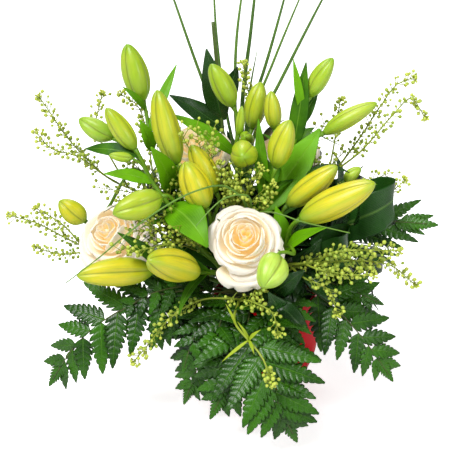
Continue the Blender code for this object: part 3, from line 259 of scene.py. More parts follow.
# Sprays: the main route, then branches as (pixel where it forks, route, first share with pods, pods)
podSprays = {
    "pod_spray_1": {
        "route": [(210, 240, 15), (160, 203, 16), (130, 188, 12)],
        "branches": [
            ((130, 188), [(113, 181, 8), (88, 160, 0), (66, 136, -6), (49, 111, -8), (40, 98, -8)], 0.3, 6),
            ((118, 184), [(104, 175, -8), (77, 156, -24), (49, 147, -30), (37, 133, -32)], 0.3, 5),
            ((130, 188), [(112, 160, 16), (96, 128, 22), (102, 95, 22)], 0.5, 3),
            ((160, 203), [(152, 168, 20), (147, 135, 26), (136, 104, 28), (122, 95, 26)], 0.6, 3),
        ],
    },
    "pod_spray_2": {
        "route": [(205, 262, -12), (150, 256, 0), (105, 252, -8), (88, 250, -12)],
        "branches": [
            ((88, 250), [(60, 235, -18), (37, 223, -22), (11, 216, -26)], 0.1, 5),
            ((80, 246), [(62, 224, -12), (48, 215, -14), (37, 209, -16)], 0.3, 3),
            ((92, 250), [(60, 254, -22), (37, 248, -28)], 0.2, 3),
        ],
    },
    "pod_spray_3": {
        "route": [(243, 245, -52), (230, 222, -60)],
        "branches": [
            ((230, 222), [(229, 195, -62), (220, 165, -66)], 0.25, 3),
            ((230, 222), [(246, 196, -60), (260, 170, -66)], 0.25, 3),
            ((234, 230), [(262, 210, -64), (273, 186, -80)], 0.35, 3),
            ((238, 240), [(205, 240, -92), (165, 235, -104), (146, 220, -104)], 0.45, 4),
            ((190, 240), [(160, 246, -112), (132, 252, -114)], 0.3, 3),
        ],
    },
    "pod_spray_4": {
        "route": [(245, 296, -82), (238, 302, -104)],
        "branches": [
            ((241, 300), [(201, 300, -108), (170, 318, -120), (148, 345, -126), (134, 361, -126)], 0.3, 6),
            ((238, 302), [(255, 303, -150), (272, 312, -160), (278, 333, -164)], 0.35, 3),
            ((238, 302), [(236, 325, -160), (250, 342, -186), (262, 357, -200), (272, 383, -208)], 0.88, 2),
        ],
        "thicker": {3: 1.6},   # the third branch is stout
        "leaves": [            # narrow leaves at its joint: root, tip, width in metres
            ((249, 340, -186), (221, 362, -192), 0.0034), ((249, 340, -186), (238, 322, -196), 0.0032),
            ((249, 340, -186), (260, 330, -198), 0.0040), ((249, 340, -186), (254, 354, -204), 0.0034),
            ((236, 325, -160), (226, 304, -164), 0.0028),
        ],
    },
    "pod_spray_5": {
        "route": [(280, 268, -62), (296, 264, -92), (330, 262, -108)],
        "branches": [
            ((330, 262), [(365, 261, -116), (390, 265, -120), (414, 284, -122)], 0.0, 6),
            ((315, 263), [(335, 252, -128), (362, 250, -134), (398, 251, -136)], 0.2, 5),
            ((306, 264), [(318, 269, -126), (342, 274, -132), (372, 275, -134)], 0.3, 4),
            ((290, 266), [(306, 279, -112), (328, 289, -122), (337, 313, -126)], 0.4, 3),
        ],
    },
    "pod_spray_6": {
        "route": [(285, 232, 5), (318, 196, 8), (338, 167, 6)],
        "branches": [
            ((338, 167), [(361, 136, 0), (382, 104, -5), (399, 83, -8), (413, 78, -8)], 0.15, 6),
            ((336, 170), [(361, 151, -14), (393, 115, -24), (411, 98, -26), (424, 116, -26)], 0.2, 5),
            ((326, 186), [(334, 145, 24), (340, 101, 26)], 0.5, 3),
            ((312, 203), [(360, 200, -2), (385, 196, -8), (404, 181, -10)], 0.5, 3),
        ],
    },
    "pod_spray_7": {
        "route": [(252, 225, 40), (246, 195, 65)],
        "branches": [
            ((246, 195), [(258, 165, 56), (253, 118, 50), (243, 64, 44)], 0.6, 4),
            ((250, 215), [(215, 205, 110), (180, 212, 150), (150, 225, 172)], 0.3, 4),
            ((250, 212), [(275, 212, 46), (305, 222, 100), (330, 228, 135), (352, 232, 165)], 0.35, 4),
        ],
    },
}

# Grass: the bunch's route, then each blade from the bunch's end, and its width in pixels at the root. The
# blades are so much wider than the CAD's, face this way, swayed from one to the next, and are paler by the
# last number
grassBunches = {
    "grass_bunch_back": {
        "route": [(252, 212, 34), (243, 180, 52)],
        "steps": 1, "wider": 1.25, "faces": (1.0, 0.0, 0.1), "sway": 0.2, "paler": 0.0,
        "blades": [
            ([(222, 130, 70), (199, 71, 76), (174, 0, 84), (150, -70, 92)], 2.4),
            ([(228, 120, 84), (217, 40, 96), (212, -66, 108)], 2.2),
            ([(236, 120, 64), (236, 50, 70), (250, -60, 80)], 2.6),
            ([(242, 110, 78), (251, 30, 88), (262, -70, 100)], 3.2),
            ([(248, 120, 66), (264, 70, 70), (300, -60, 84)], 2.6),
            ([(252, 118, 84), (274, 60, 92), (316, -40, 106)], 2.2),
            ([(256, 130, 72), (280, 82, 76), (322, 0, 86), (350, -52, 92)], 2.6),
            ([(246, 130, 90), (250, 90, 94), (257, 51, 96)], 2.4),
            ([(222, 150, 120), (190, 130, 160), (150, 140, 190)], 2.2),
            ([(262, 150, 120), (300, 130, 160), (340, 145, 190)], 2.2),
        ],
    },
    "grass_bunch_front": {
        "route": [(255, 235, -52), (250, 216, -72)],
        "steps": 2, "wider": 0.62, "faces": (-0.5, -0.8, 0.9), "sway": 0.0, "paler": 0.5,
        "blades": [
            ([(222, 186, -112), (160, 210, -144), (100, 257, -150), (66, 283, -148)], 3.0),
            ([(272, 212, -104), (300, 221, -126), (350, 233, -138)], 3.0),
            ([(248, 196, -104), (222, 200, -122), (196, 226, -138)], 2.4),
        ],
    },
}

ruscusRoute = [(238, 225, 28), (228, 180, 40), (220, 100, 48), (213, 22, 54)]
# root pixel, tip, width in pixels, bow, faces
ruscusLeaves = [
    ((221, 122), (206, 49, 34), 25, 4, (-0.2, -0.9, 0.3)),
    ((221, 128), (170, 94, 36), 20, 5, (0.0, -0.8, 0.6)),
    ((220, 110), (237, 66, 56), 18, 4, (0.2, 0.9, 0.3)),
    ((224, 150), (196, 120, 96), 20, 4, (-0.1, 0.8, 0.6)),
]

# Aspidistra: the stalk's route, then the looped blade's middle line and its width in pixels
aspidistraLeaves = {
    "aspidistra_leaf_1": {
        "stalk": [(300, 238, -18)],
        "blade": [
            (326, 230, -28), (352, 221, -50), (380, 209, -58), (393, 199, -42), (380, 193, -18),
            (352, 199, -6),
        ],
        "width": 44,
    },
    "aspidistra_leaf_2": {
        "stalk": [(284, 266, -48)],
        "blade": [
            (305, 262, -68), (328, 256, -84), (345, 247, -86), (347, 239, -74), (330, 239, -65),
            (312, 247, -62),
        ],
        "width": 34,
    },
}

print("laying out the stems")


def aimPoint():  # the point in the plane of the pot's axis that the middle of the view shows
    drop = (view["foot"][1] - view["middle"][1]) * view["pixel"]
    far, tilt = view["distance"], view["tilt"]
    height = drop * far / (far * math.cos(tilt) - drop * math.sin(tilt))
    across = (view["foot"][0] - view["middle"][0]) * view["pixel"] * (1.0 + height * math.sin(tilt) / far)
    return Vector((-across, 0.0, height))


aim = aimPoint()
eye = aim - lookWay * view["distance"]


def spot(place):  # the ray through the pixel, cut where it is the given depth behind the pot's axis
    u, v, depth = place
    ray = lookWay * view["distance"] + rightWay * (u - view["middle"][0]) * view["pixel"]
    ray = ray + upWay * (view["middle"][1] - v) * view["pixel"]
    return eye + ray * ((depth * 0.001 - eye.y) / ray.y)


def depthShare(point):  # how much larger a pixel is there than in the plane of the pot's axis
    return 1.0 + (point - aim).dot(lookWay) / view["distance"]


def seen(point):  # the pixel at which a point shows
    share = view["pixel"] * depthShare(point)
    offset = point - aim
    return view["middle"][0] + offset.dot(rightWay) / share, view["middle"][1] - offset.dot(upWay) / share


# Places of the front view before which no fill leaf, inner leaf, pinna or fill pod is set: pixel, depth
# and how far round it. The buds of the front join them below
keptOpen = [
    (160, 163, -60, 11), (158, 180, -60, 11), (280, 256, -60, 10), (296, 247, -60, 11), (312, 236, -60, 9),
    (184, 218, -100, 12), (197, 230, -100, 11), (300, 165, -20, 10), (285, 195, -30, 10), (313, 286, 200, 5),
    (309, 340, 200, 3.5), (313, 346, 200, 4), (302, 366, 200, 5), (244, 235, -60, 34), (236, 272, -60, 26),
    (146, 135, -20, 9), (222, 160, 60, 8), (112, 168, -60, 8), (268, 100, -20, 10), (400, 268, 200, 10),
    (386, 274, 200, 7), (350, 160, 200, 8), (352, 148, 200, 7), (358, 160, 200, 7), (368, 161, 200, 8),
    (384, 292, 200, 9), (253, 190, -20, 9), (388, 306, 200, 7),
]
for stem in lilyStems.values():
    for _, base, tip, width, *_ in stem["buds"]:
        if tip[2] < 40:
            for share in (0.15, 0.5, 0.85):
                middle = [a + (b - a) * share for a, b in zip(base, tip)]
                keptOpen.append((*middle, width * 0.5))


def coversOpen(rings):  # whether a leaf, by its rings' middles, comes before one of those places
    centres = np.asarray(rings).mean(axis=1)
    offset = centres - np.array(aim)
    share = view["pixel"] * (1 + offset @ np.array(lookWay) / view["distance"])
    u = view["middle"][0] + offset @ np.array(rightWay) / share
    v = view["middle"][1] - offset @ np.array(upWay) / share
    return any((np.hypot(u - a, v - b)[centres[:, 1] < depth * 0.001] < room).any()
               for a, b, depth, room in keptOpen)


def realWidth(pixels, point):  # metres that so many pixels show at the point's depth
    return pixels * view["pixel"] * depthShare(point)


def foamEntries(stems):  # ways out of the focus, pushed apart in pairs until the stems' holes are clear
    names = list(stems)
    ways = {name: (stems[name][0] - foam["focus"]).normalized() for name in names}
    inner = foam["dome"] - foam["stemDepth"]
    room = {
        name: math.asin((stems[name][1] + foam["holeRoom"] + foam["wallBetween"]) / inner) for name in names}
    for _ in range(foam["pushes"]):
        for i, one in enumerate(names):
            for two in names[i + 1:]:
                short = room[one] + room[two] - ways[one].angle(ways[two])
                if short > 0.0:
                    push = (ways[one] - ways[two]).normalized() * (0.5 * short)
                    ways[one] = (ways[one] + push).normalized()
                    ways[two] = (ways[two] - push).normalized()
        for name in names:
            if math.asin(ways[name].z) < foam["lowestEntry"]:
                level = Vector((ways[name].x, ways[name].y, 0.0)).normalized()
                low = foam["lowestEntry"]
                ways[name] = level * math.cos(low) + Vector((0.0, 0.0, math.sin(low)))
    return ways


def smoothPath(points, firstWay=None, lastWay=None, steps=2):  # cubic spans, slopes from the neighbours
    slopes = []
    for i in range(len(points)):
        slopes.append((points[min(i + 1, len(points) - 1)] - points[max(i - 1, 0)]).normalized())
    if firstWay is not None:
        slopes[0] = firstWay
    if lastWay is not None:
        slopes[-1] = lastWay
    path = [points[0]]
    for i in range(len(points) - 1):
        start, end = points[i], points[i + 1]
        reach = (end - start).length
        for k in range(1, steps + 1):
            t = k / steps
            along = slopes[i] * reach * (t ** 3 - 2 * t ** 2 + t) + slopes[i + 1] * reach * (t ** 3 - t ** 2)
            path.append(start * (2 * t ** 3 - 3 * t ** 2 + 1) + end * (3 * t ** 2 - 2 * t ** 3) + along)
    return path


# Straight out of the foam, then smooth through the points
def rootedPath(way, points, lastWay=None, steps=2):
    leaving = foam["focus"] + way * foam["straight"]
    cutEnd = foam["focus"] + way * (foam["dome"] - foam["stemDepth"])
    return [cutEnd] + smoothPath([leaving] + points, way, lastWay, steps)


def nearestOn(lines, pixel):  # the point and way, of all lines, that shows nearest the pixel
    best = None
    for path in lines:
        for i in range(1, len(path)):
            for k in range(4):
                point = path[i - 1].lerp(path[i], k / 4)
                u, v = seen(point)
                miss = math.hypot(u - pixel[0], v - pixel[1])
                if best is None or miss < best[0]:
                    best = (miss, point, (path[i] - path[i - 1]).normalized())
    return best[1], best[2]


def aboveFoam(rods):  # the lines without the main one's start inside the foam
    return [rods[0][0][2:]] + [rod[0] for rod in rods[1:]]


def lilyRods(stem, way):  # the stem's and pedicels' lines, as (points, first radius, last radius)
    first = stem["buds"][0]
    base, tip = spot(first[1]), spot(first[2])
    axis = (tip - base).normalized()
    main = rootedPath(way, [spot(p) for p in stem["route"]] + [base - axis * stemSize["endRun"]], axis)
    rods = [(main + [base - axis * stemSize["gap"]], stemSize["lily"], stemSize["lilyTop"])]
    for _, basePlace, tipPlace, _, fork, via, _ in stem["buds"][1:]:
        base, tip = spot(basePlace), spot(tipPlace)
        axis = (tip - base).normalized()
        start, startWay = nearestOn([main[2:]], fork)
        points = [start] + [spot(p) for p in via] + [base - axis * stemSize["endRun"]]
        path = smoothPath(points, startWay, axis)
        rods.append((path + [base - axis * stemSize["gap"]], stemSize["pedicel"], stemSize["pedicel"]))
    for basePlace, tipPlace, _, fork in stem["small"]:
        base, tip = spot(basePlace), spot(tipPlace)
        start = nearestOn([main[2:]], fork)[0]
        path = smoothPath([start, base], None, (tip - base).normalized())
        rods.append((path, stemSize["smallPedicel"], stemSize["smallPedicel"]))
    return rods


def sprayRods(spray, way):  # the spray's main line and its branches, in the same terms
    rods = [(rootedPath(way, [spot(p) for p in spray["route"]]), stemSize["spray"], stemSize["sprayTop"])]
    for fork, route, _, _ in spray["branches"]:
        start, startWay = nearestOn(aboveFoam(rods), fork)
        rods.append(([start] + [spot(p) for p in route], stemSize["twig"], stemSize["twigEnd"]))
    return rods


def roseBase(bloom):  # the foot of the bloom, its axis and its radius
    middle = spot(bloom["middle"])
    axis = Vector(bloom["faces"]).normalized()
    radius = realWidth(bloom["width"], middle) / 2
    return middle - axis * radius * 0.62, axis, radius


roseBases = {key: roseBase(bloom) for key, bloom in roseBlooms.items()}


def stemsInFoam():  # each stem's first point above the foam and its radius there
    stems = {name: (spot(stem["route"][0]), stemSize["lily"]) for name, stem in lilyStems.items()}
    for key, (base, _, _) in roseBases.items():
        stems["rose_stem_" + key] = (base, stemSize["rose"])
    groups = ((fernFronds, "fern"), (podSprays, "spray"), (grassBunches, "grass"))
    for group, kind in groups:
        for name, entry in group.items():
            stems[name] = (spot(entry["route"][0]), stemSize[kind])
    stems["ruscus_stem"] = (spot(ruscusRoute[0]), stemSize["ruscus"])
    for name, entry in aspidistraLeaves.items():
        stems[name] = (spot(entry["stalk"][0]), stemSize["aspidistra"])
    return stems


stemWays = foamEntries(stemsInFoam())

print("mesh functions")
goldenTurn = 2.39996   # radians from one leaf or pod to the next


def unit(a):  # each vector divided by its length
    return a / np.maximum(np.linalg.norm(a, axis=-1, keepdims=True), 1e-12)


def toArray(points):
    return np.array([tuple(p) for p in points], dtype=float)


# A cubic curve through the points, its slopes from the neighbours, read at even steps of its length
def finePath(points, count):
    p = toArray(points)
    s = np.concatenate([[0.0], np.cumsum(np.linalg.norm(np.diff(p, axis=0), axis=1))])
    slope = np.gradient(p, s, axis=0)
    at = np.linspace(0.0, s[-1], count)
    k = np.clip(np.searchsorted(s, at, side="right") - 1, 0, len(s) - 2)
    h = (s[k + 1] - s[k])[:, None]
    x = (at - s[k])[:, None] / h
    curve = p[k] * (2 * x ** 3 - 3 * x ** 2 + 1) + p[k + 1] * (3 * x ** 2 - 2 * x ** 3)
    return curve + slope[k] * h * (x ** 3 - 2 * x ** 2 + x) + slope[k + 1] * h * (x ** 3 - x ** 2)


# Directions along a path, and two cross directions made from the world axis that the path keeps farthest from
def pathFrame(path):
    way = unit(np.gradient(path, axis=0))
    axis = np.eye(3)[np.argmin(np.abs(way).max(axis=0))]
    side = unit(axis - way * (way @ axis)[:, None])
    return way, side, np.cross(way, side)


# A round section carried along a path: centre + (side cos a + across sin a) * radius
def tubeRings(path, radii, sides=10):
    way, side, across = pathFrame(path)
    a = np.linspace(0.0, 2 * np.pi, sides, endpoint=False)
    section = side[:, None] * np.cos(a)[None, :, None] + across[:, None] * np.sin(a)[None, :, None]
    return path[:, None] + section * np.broadcast_to(radii, (len(path),))[:, None, None]


def gridQuads(n, m):  # quads between n rings of m corners each
    cell = np.arange((n - 1) * m).reshape(n - 1, m)
    beside = np.roll(cell, -1, axis=1)
    return np.stack([cell, beside, beside + m, cell + m], axis=-1).reshape(-1, 4)


def crossWay(side, across, turn):  # the direction at an angle round a path
    return side * math.cos(turn) + across * math.sin(turn)


# Closed skins from stacks of rings: quads between neighbouring rings, a fan to a pole at each end, and every
# skin turned so that its volume, the sum of a . (b x c) over its triangles, is positive
def skins(rings, shade=0.0, look=0, uLine=None, vLine=None, firstPole=None, lastPole=None):
    rings = np.asarray(rings, dtype=float)
    rings = rings[None] if rings.ndim == 3 else rings
    count, n, m, _ = rings.shape
    first = rings[:, 0].mean(1) if firstPole is None else np.asarray(firstPole, dtype=float).reshape(count, 3)
    last = rings[:, -1].mean(1) if lastPole is None else np.asarray(lastPole, dtype=float).reshape(count, 3)
    co = np.concatenate([rings.reshape(count, n * m, 3), first[:, None], last[:, None]], axis=1)
    quads = gridQuads(n, m)
    k, kn = np.arange(m), np.roll(np.arange(m), -1)
    end = (n - 1) * m
    tris = np.concatenate([
        np.stack([kn, k, np.full(m, n * m)], axis=-1),
        np.stack([end + k, end + kn, np.full(m, n * m + 1)], axis=-1)])
    u = np.linspace(0.0, 1.0, m + 1) if uLine is None else uLine
    v = np.linspace(0.0, 1.0, n) if vLine is None else vLine
    u0, v0 = np.meshgrid(u[:-1], v[:-1])
    u1, v1 = np.meshgrid(u[1:], v[1:])
    quadUv = np.stack([u0, v0, u1, v0, u1, v1, u0, v1], axis=-1).reshape(-1, 4, 2)
    ends = np.concatenate([np.full(m, v[0]), np.full(m, v[-1])])
    left, right = np.tile(u[:-1], 2), np.tile(u[1:], 2)
    triUv = np.stack([left, ends, right, ends, (left + right) / 2, ends], axis=-1).reshape(-1, 3, 2)
    split = np.concatenate([quads[:, [0, 1, 2]], quads[:, [0, 2, 3]], tris])
    corner = (co - co[:, :1])[:, split]
    volume = np.einsum("lti,lti->l", corner[:, :, 0], np.cross(corner[:, :, 1], corner[:, :, 2]))
    allQuads, allTris, allQuadUv, allTriUv = [], [], [], []
    for turned, step in ((volume >= 0, 1), (volume < 0, -1)):
        offset = (np.flatnonzero(turned) * co.shape[1])[:, None, None]
        allQuads.append((quads[:, ::step] + offset).reshape(-1, 4))
        allTris.append((tris[:, ::step] + offset).reshape(-1, 3))
        allQuadUv.append(np.tile(quadUv[:, ::step], (len(offset), 1, 1)))
        allTriUv.append(np.tile(triUv[:, ::step], (len(offset), 1, 1)))
    tint = np.broadcast_to(np.asarray(shade, dtype=float).reshape(-1, 1), (count, co.shape[1]))
    return {
        "co": co.reshape(-1, 3), "quads": np.concatenate(allQuads), "tris": np.concatenate(allTris),
        "quadUv": np.concatenate(allQuadUv), "triUv": np.concatenate(allTriUv),
        "shade": tint.reshape(-1), "look": look}


def addObject(name, data):
    made = bpy.data.objects.new(name, data)
    bpy.context.scene.collection.objects.link(made)
    return made


# One object from several skins: its corners are all the quads' and then all the triangles'
def putPiece(name, parts, looks, slotName, *nodes):
    offsets = np.cumsum([0] + [len(part["co"]) for part in parts])
    quads = np.concatenate([part["quads"] + o for part, o in zip(parts, offsets)])
    tris = np.concatenate([part["tris"] + o for part, o in zip(parts, offsets)])
    co = np.concatenate([part["co"] for part in parts])
    uv = np.concatenate([part[kind].reshape(-1, 2) for kind in ("quadUv", "triUv") for part in parts])
    look = np.concatenate([
        np.full(len(part[kind]), part["look"]) for kind in ("quads", "tris") for part in parts])
    mesh = bpy.data.meshes.new(name)
    mesh.vertices.add(len(co))
    mesh.vertices.foreach_set("co", co.astype(np.float32).ravel())
    mesh.loops.add(quads.size + tris.size)
    mesh.loops.foreach_set("vertex_index", np.concatenate([quads.ravel(), tris.ravel()]).astype(np.int32))
    mesh.polygons.add(len(quads) + len(tris))
    starts = np.concatenate([np.arange(len(quads)) * 4, quads.size + np.arange(len(tris)) * 3])
    mesh.polygons.foreach_set("loop_start", starts.astype(np.int32))
    mesh.polygons.foreach_set("material_index", look.astype(np.int32))
    mesh.update(calc_edges=True)
    mesh.uv_layers.new(name="UVMap").data.foreach_set("uv", uv.astype(np.float32).ravel())
    shade = np.concatenate([part["shade"] for part in parts])
    mesh.attributes.new("shade", "FLOAT", "POINT").data.foreach_set("value", shade.astype(np.float32))
    mesh.shade_smooth()
    for made in looks:
        mesh.materials.append(made)
    piece = addObject(name, mesh)
    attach(piece, "root")
    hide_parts(*nodes)


# Across a blade q = cos a goes from edge to edge and back, and sin a gives the thickness of a flat lens.
# The UV map's u is (q + 1) / 2
def lensSection(count):
    angles = np.linspace(0.0, 2 * np.pi, count, endpoint=False)
    return angles, np.concatenate([(np.cos(angles) + 1) / 2, [1.0]])


bladeAngles, bladeU = lensSection(14)
plainAngles, plainU = lensSection(8)   # for the leaves that hide inside, and the pinnae

leafForm = {
    "thick": 0.0007,
    "fold": 0.16,     # how far the halves rise from the rib
    "wave": 0.05,     # edge waves, as a share of the half width
}


# A lance-shaped leaf: half width = w/2 (sin(pi (0.06 + 0.94 t)^0.85) + 0.05), middle = chord plus a bow 4 t
# (1 - t), the halves raised by |q|, the edges waved by sin(2 pi waves t) q^2, the tip bent down by t^3
def leafRings(root, tip, width, bow, facing, phase=0.0, droop=0.0, count=26, angles=bladeAngles):
    root, tip, facing = np.array(root), np.array(tip), np.array(facing)
    chord = tip - root
    length = np.linalg.norm(chord)
    way = chord / length
    normal = unit(facing - way * facing.dot(way))
    side = np.cross(way, normal)
    t = np.linspace(0.0, 0.99, count)[:, None]
    q, z = np.cos(angles)[None], np.sin(angles)[None]
    spread = width / 2 * (np.sin(np.pi * np.minimum(1.0, 0.06 + 0.94 * t) ** 0.85) + 0.05)
    rise = bow * 4 * t * (1 - t) - droop * length * t ** 3
    rise = rise + spread * leafForm["fold"] * np.sqrt(q ** 2 + 0.02)
    rise = rise + spread * leafForm["wave"] * q ** 2 * np.sin(2 * np.pi * 2.3 * t + phase + 1.3 * np.sign(q))
    rise = rise + z * leafForm["thick"] / 2
    sway = width * 0.04 * np.sin(np.pi * t + phase)
    return (root + chord * t[..., None] + side * (spread * q + sway)[..., None] + normal * rise[..., None])


# Everything packed, without the named nodes, as one search tree
def othersTree(*own):
    corners, faces, count = [], [], 0
    for name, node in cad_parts.items():
        if name in own:
            continue
        mesh = node.data
        co = np.empty(len(mesh.vertices) * 3)
        mesh.vertices.foreach_get("co", co)
        turned = np.array(node.matrix_world)
        co = co.reshape(-1, 3) @ turned[:3, :3].T + turned[:3, 3]
        corners.extend(map(tuple, co))
        faces.extend(tuple(count + i for i in face.vertices) for face in mesh.polygons)
        count += len(co)
    return BVHTree.FromPolygons(corners, faces)


def sheetTree(rings):  # a search tree of a blade's rings
    return BVHTree.FromPolygons(rings.reshape(-1, 3).tolist(), gridQuads(*rings.shape[:2]).tolist())


print("materials")


def addNode(tree, kind, settings=None, **inputs):  # a node, its sockets given by number as in0, or by name
    made = tree.nodes.new(kind)
    for key, value in (settings or {}).items():
        setattr(made, key, value)
    for key, value in inputs.items():
        socket = made.inputs[int(key[2:]) if key[:2] == "in" and key[2:].isdigit() else key]
        if isinstance(value, bpy.types.NodeSocket):
            tree.links.new(value, socket)
        else:
            socket.default_value = value
    return made


def mathNode(tree, operation, a, b=0.0, clamp=False):
    return addNode(
        tree, "ShaderNodeMath", {"operation": operation, "use_clamp": clamp}, in0=a, in1=b).outputs[0]


def times(tree, a, b, clamp=False):
    return mathNode(tree, "MULTIPLY", a, b, clamp)


def plus(tree, a, b, clamp=False):
    return mathNode(tree, "ADD", a, b, clamp)


def minus(tree, a, b, clamp=False):
    return mathNode(tree, "SUBTRACT", a, b, clamp)


def mixColours(tree, share, a, b):  # a where the share is 0 and b where it is 1
    a, b = (colour if isinstance(colour, bpy.types.NodeSocket) else (*colour, 1.0) for colour in (a, b))
    return addNode(tree, "ShaderNodeMix", {"data_type": "RGBA"}, in0=share, in6=a, in7=b).outputs[2]


# Low to high becomes bottom to top
def stretch(tree, value, low=0.0, high=1.0, bottom=0.0, top=1.0, kind="LINEAR"):
    made = addNode(tree, "ShaderNodeMapRange", {"interpolation_type": kind}, Value=value, in1=low, in2=high)
    made.inputs[3].default_value, made.inputs[4].default_value = bottom, top
    return made.outputs[0]


def greyRamp(tree, value, stops):  # a mask from (place, grey) stops
    made = addNode(tree, "ShaderNodeValToRGB", None, Fac=value)
    line = made.color_ramp
    while len(line.elements) < len(stops):
        line.elements.new(0.5)
    for element, (place, grey) in zip(line.elements, stops):
        element.position = place
        element.color = (grey, grey, grey, 1.0)
    return made.outputs[0]


def objectPlace(tree):
    return addNode(tree, "ShaderNodeTexCoord").outputs["Object"]


def noise(tree, place, scale, detail=3.0):
    return addNode(tree, "ShaderNodeTexNoise", None, Vector=place, Scale=scale, Detail=detail).outputs[0]


def uvParts(tree):  # across and along the piece, each from 0 to 1
    uv = addNode(tree, "ShaderNodeUVMap", {"uv_map": "UVMap"})
    split = addNode(tree, "ShaderNodeSeparateXYZ", None, in0=uv.outputs[0])
    return split.outputs[0], split.outputs[1]


def streaks(tree, across, along, fine, long):  # noise drawn out along the piece
    place = addNode(
        tree, "ShaderNodeCombineXYZ", None, in0=times(tree, across, fine), in1=times(tree, along, long))
    return noise(tree, place.outputs[0], 1.0)


def newGroup(name, inputs, outputs):
    group = bpy.data.node_groups.new(name, "ShaderNodeTree")
    for label, value in inputs.items():
        group.interface.new_socket(label, in_out="INPUT", socket_type="NodeSocketFloat").default_value = value
    for label in outputs:
        group.interface.new_socket(label, in_out="OUTPUT", socket_type="NodeSocketFloat")
    return group, group.nodes.new("NodeGroupInput").outputs, group.nodes.new("NodeGroupOutput").inputs


# Fine lines that run along a blade: |sin(pi lines (across + noise))|, and the rib in its middle
def buildVeins():
    group, given, out = newGroup("bladeVeins", {"Lines": 12.0, "Wander": 0.01, "Sharp": 4.0}, ("Line", "Rib"))
    across, _ = uvParts(group)
    shift = times(group, minus(group, noise(group, objectPlace(group), 90.0, 2.0), 0.5), given["Wander"])
    turn = times(group, times(group, plus(group, across, shift), given["Lines"]), math.pi)
    wave = mathNode(group, "ABSOLUTE", mathNode(group, "SINE", turn))
    line = mathNode(group, "POWER", minus(group, 1.0, wave), given["Sharp"])
    fromRib = mathNode(group, "ABSOLUTE", minus(group, across, 0.5))
    group.links.new(line, out["Line"])
    group.links.new(minus(group, 1.0, times(group, fromRib, 22.0), True), out["Rib"])
    return group


def buildMottle():  # soft patches and fine grain of the surface, both from 0 to 1, and each skin's own shade
    group, given, out = newGroup(
        "mottle", {"Patch Size": 30.0, "Grain Size": 700.0}, ("Patch", "Grain", "Tint"))
    place = objectPlace(group)
    group.links.new(stretch(group, noise(group, place, given["Patch Size"]), 0.32, 0.68), out["Patch"])
    group.links.new(noise(group, place, given["Grain Size"], 2.0), out["Grain"])
    tint = addNode(group, "ShaderNodeAttribute", {"attribute_name": "shade"}).outputs["Fac"]
    group.links.new(tint, out["Tint"])
    return group


veinsGroup, mottleGroup = buildVeins(), buildMottle()


def placeVeins(tree, lines, wander, sharp):
    group = {"node_tree": veinsGroup}
    return addNode(tree, "ShaderNodeGroup", group, Lines=lines, Wander=wander, Sharp=sharp).outputs


def placeMottle(tree, patchSize, grainSize):
    inputs = {"Patch Size": patchSize, "Grain Size": grainSize}
    return addNode(tree, "ShaderNodeGroup", {"node_tree": mottleGroup}, **inputs).outputs


def newLook(name, roughness, sockets):
    made = bpy.data.materials.new(name)
    made.use_nodes = True
    shader = made.node_tree.nodes["Principled BSDF"]
    shader.inputs["Roughness"].default_value = roughness
    for label, value in sockets.items():
        shader.inputs[label].default_value = value
    return made, made.node_tree, shader


def bump(tree, shader, height, strength, distance):
    made = addNode(tree, "ShaderNodeBump", None, Height=height, Strength=strength, Distance=distance)
    tree.links.new(made.outputs[0], shader.inputs["Normal"])


leafPaint = {
    "lilyLeaf": {
        "dark": (0.012, 0.080, 0.001), "light": (0.15, 0.42, 0.002), "rib": (0.28, 0.54, 0.05),
        "roughness": 0.38, "lines": 16.0, "veinShare": 0.26, "ribShare": 0.4, "depth": 0.0004, "gloss": 0.2,
    },
    # the ruscus's own dark green; on the inner leaves it is painted shade deep in the arrangement
    "darkLeafAndShade": {
        "dark": (0.004, 0.026, 0.003), "light": (0.016, 0.080, 0.008), "rib": (0.10, 0.24, 0.05),
        "roughness": 0.24, "lines": 18.0, "veinShare": 0.22, "ribShare": 0.4, "depth": 0.0004, "gloss": 0.4,
    },
    "aspidistraLeaf": {
        "dark": (0.003, 0.026, 0.003), "light": (0.016, 0.085, 0.008), "rib": (0.14, 0.28, 0.05),
        "roughness": 0.30, "lines": 26.0, "veinShare": 0.30, "ribShare": 0.5, "depth": 0.0003, "gloss": 0.22,
    },
    "fernLeaf": {
        "dark": (0.003, 0.024, 0.001), "light": (0.046, 0.185, 0.004), "rib": (0.10, 0.28, 0.015),
        "roughness": 0.25, "lines": 10.0, "veinShare": 0.05, "ribShare": 0.5, "depth": 0.0006, "gloss": 0.36,
    },
    "grassBlade": {
        "dark": (0.03, 0.10, 0.012), "light": (0.16, 0.32, 0.045), "rib": (0.22, 0.36, 0.08),
        "roughness": 0.42, "lines": 6.0, "veinShare": 0.3, "ribShare": 0.4, "depth": 0.0004, "gloss": 0.3,
    },
    "youngLeaf": {
        "dark": (0.16, 0.30, 0.010), "light": (0.40, 0.52, 0.020), "rib": (0.46, 0.56, 0.08),
        "roughness": 0.42, "lines": 8.0, "veinShare": 0.2, "ribShare": 0.3, "depth": 0.0004, "gloss": 0.3,
    },
}


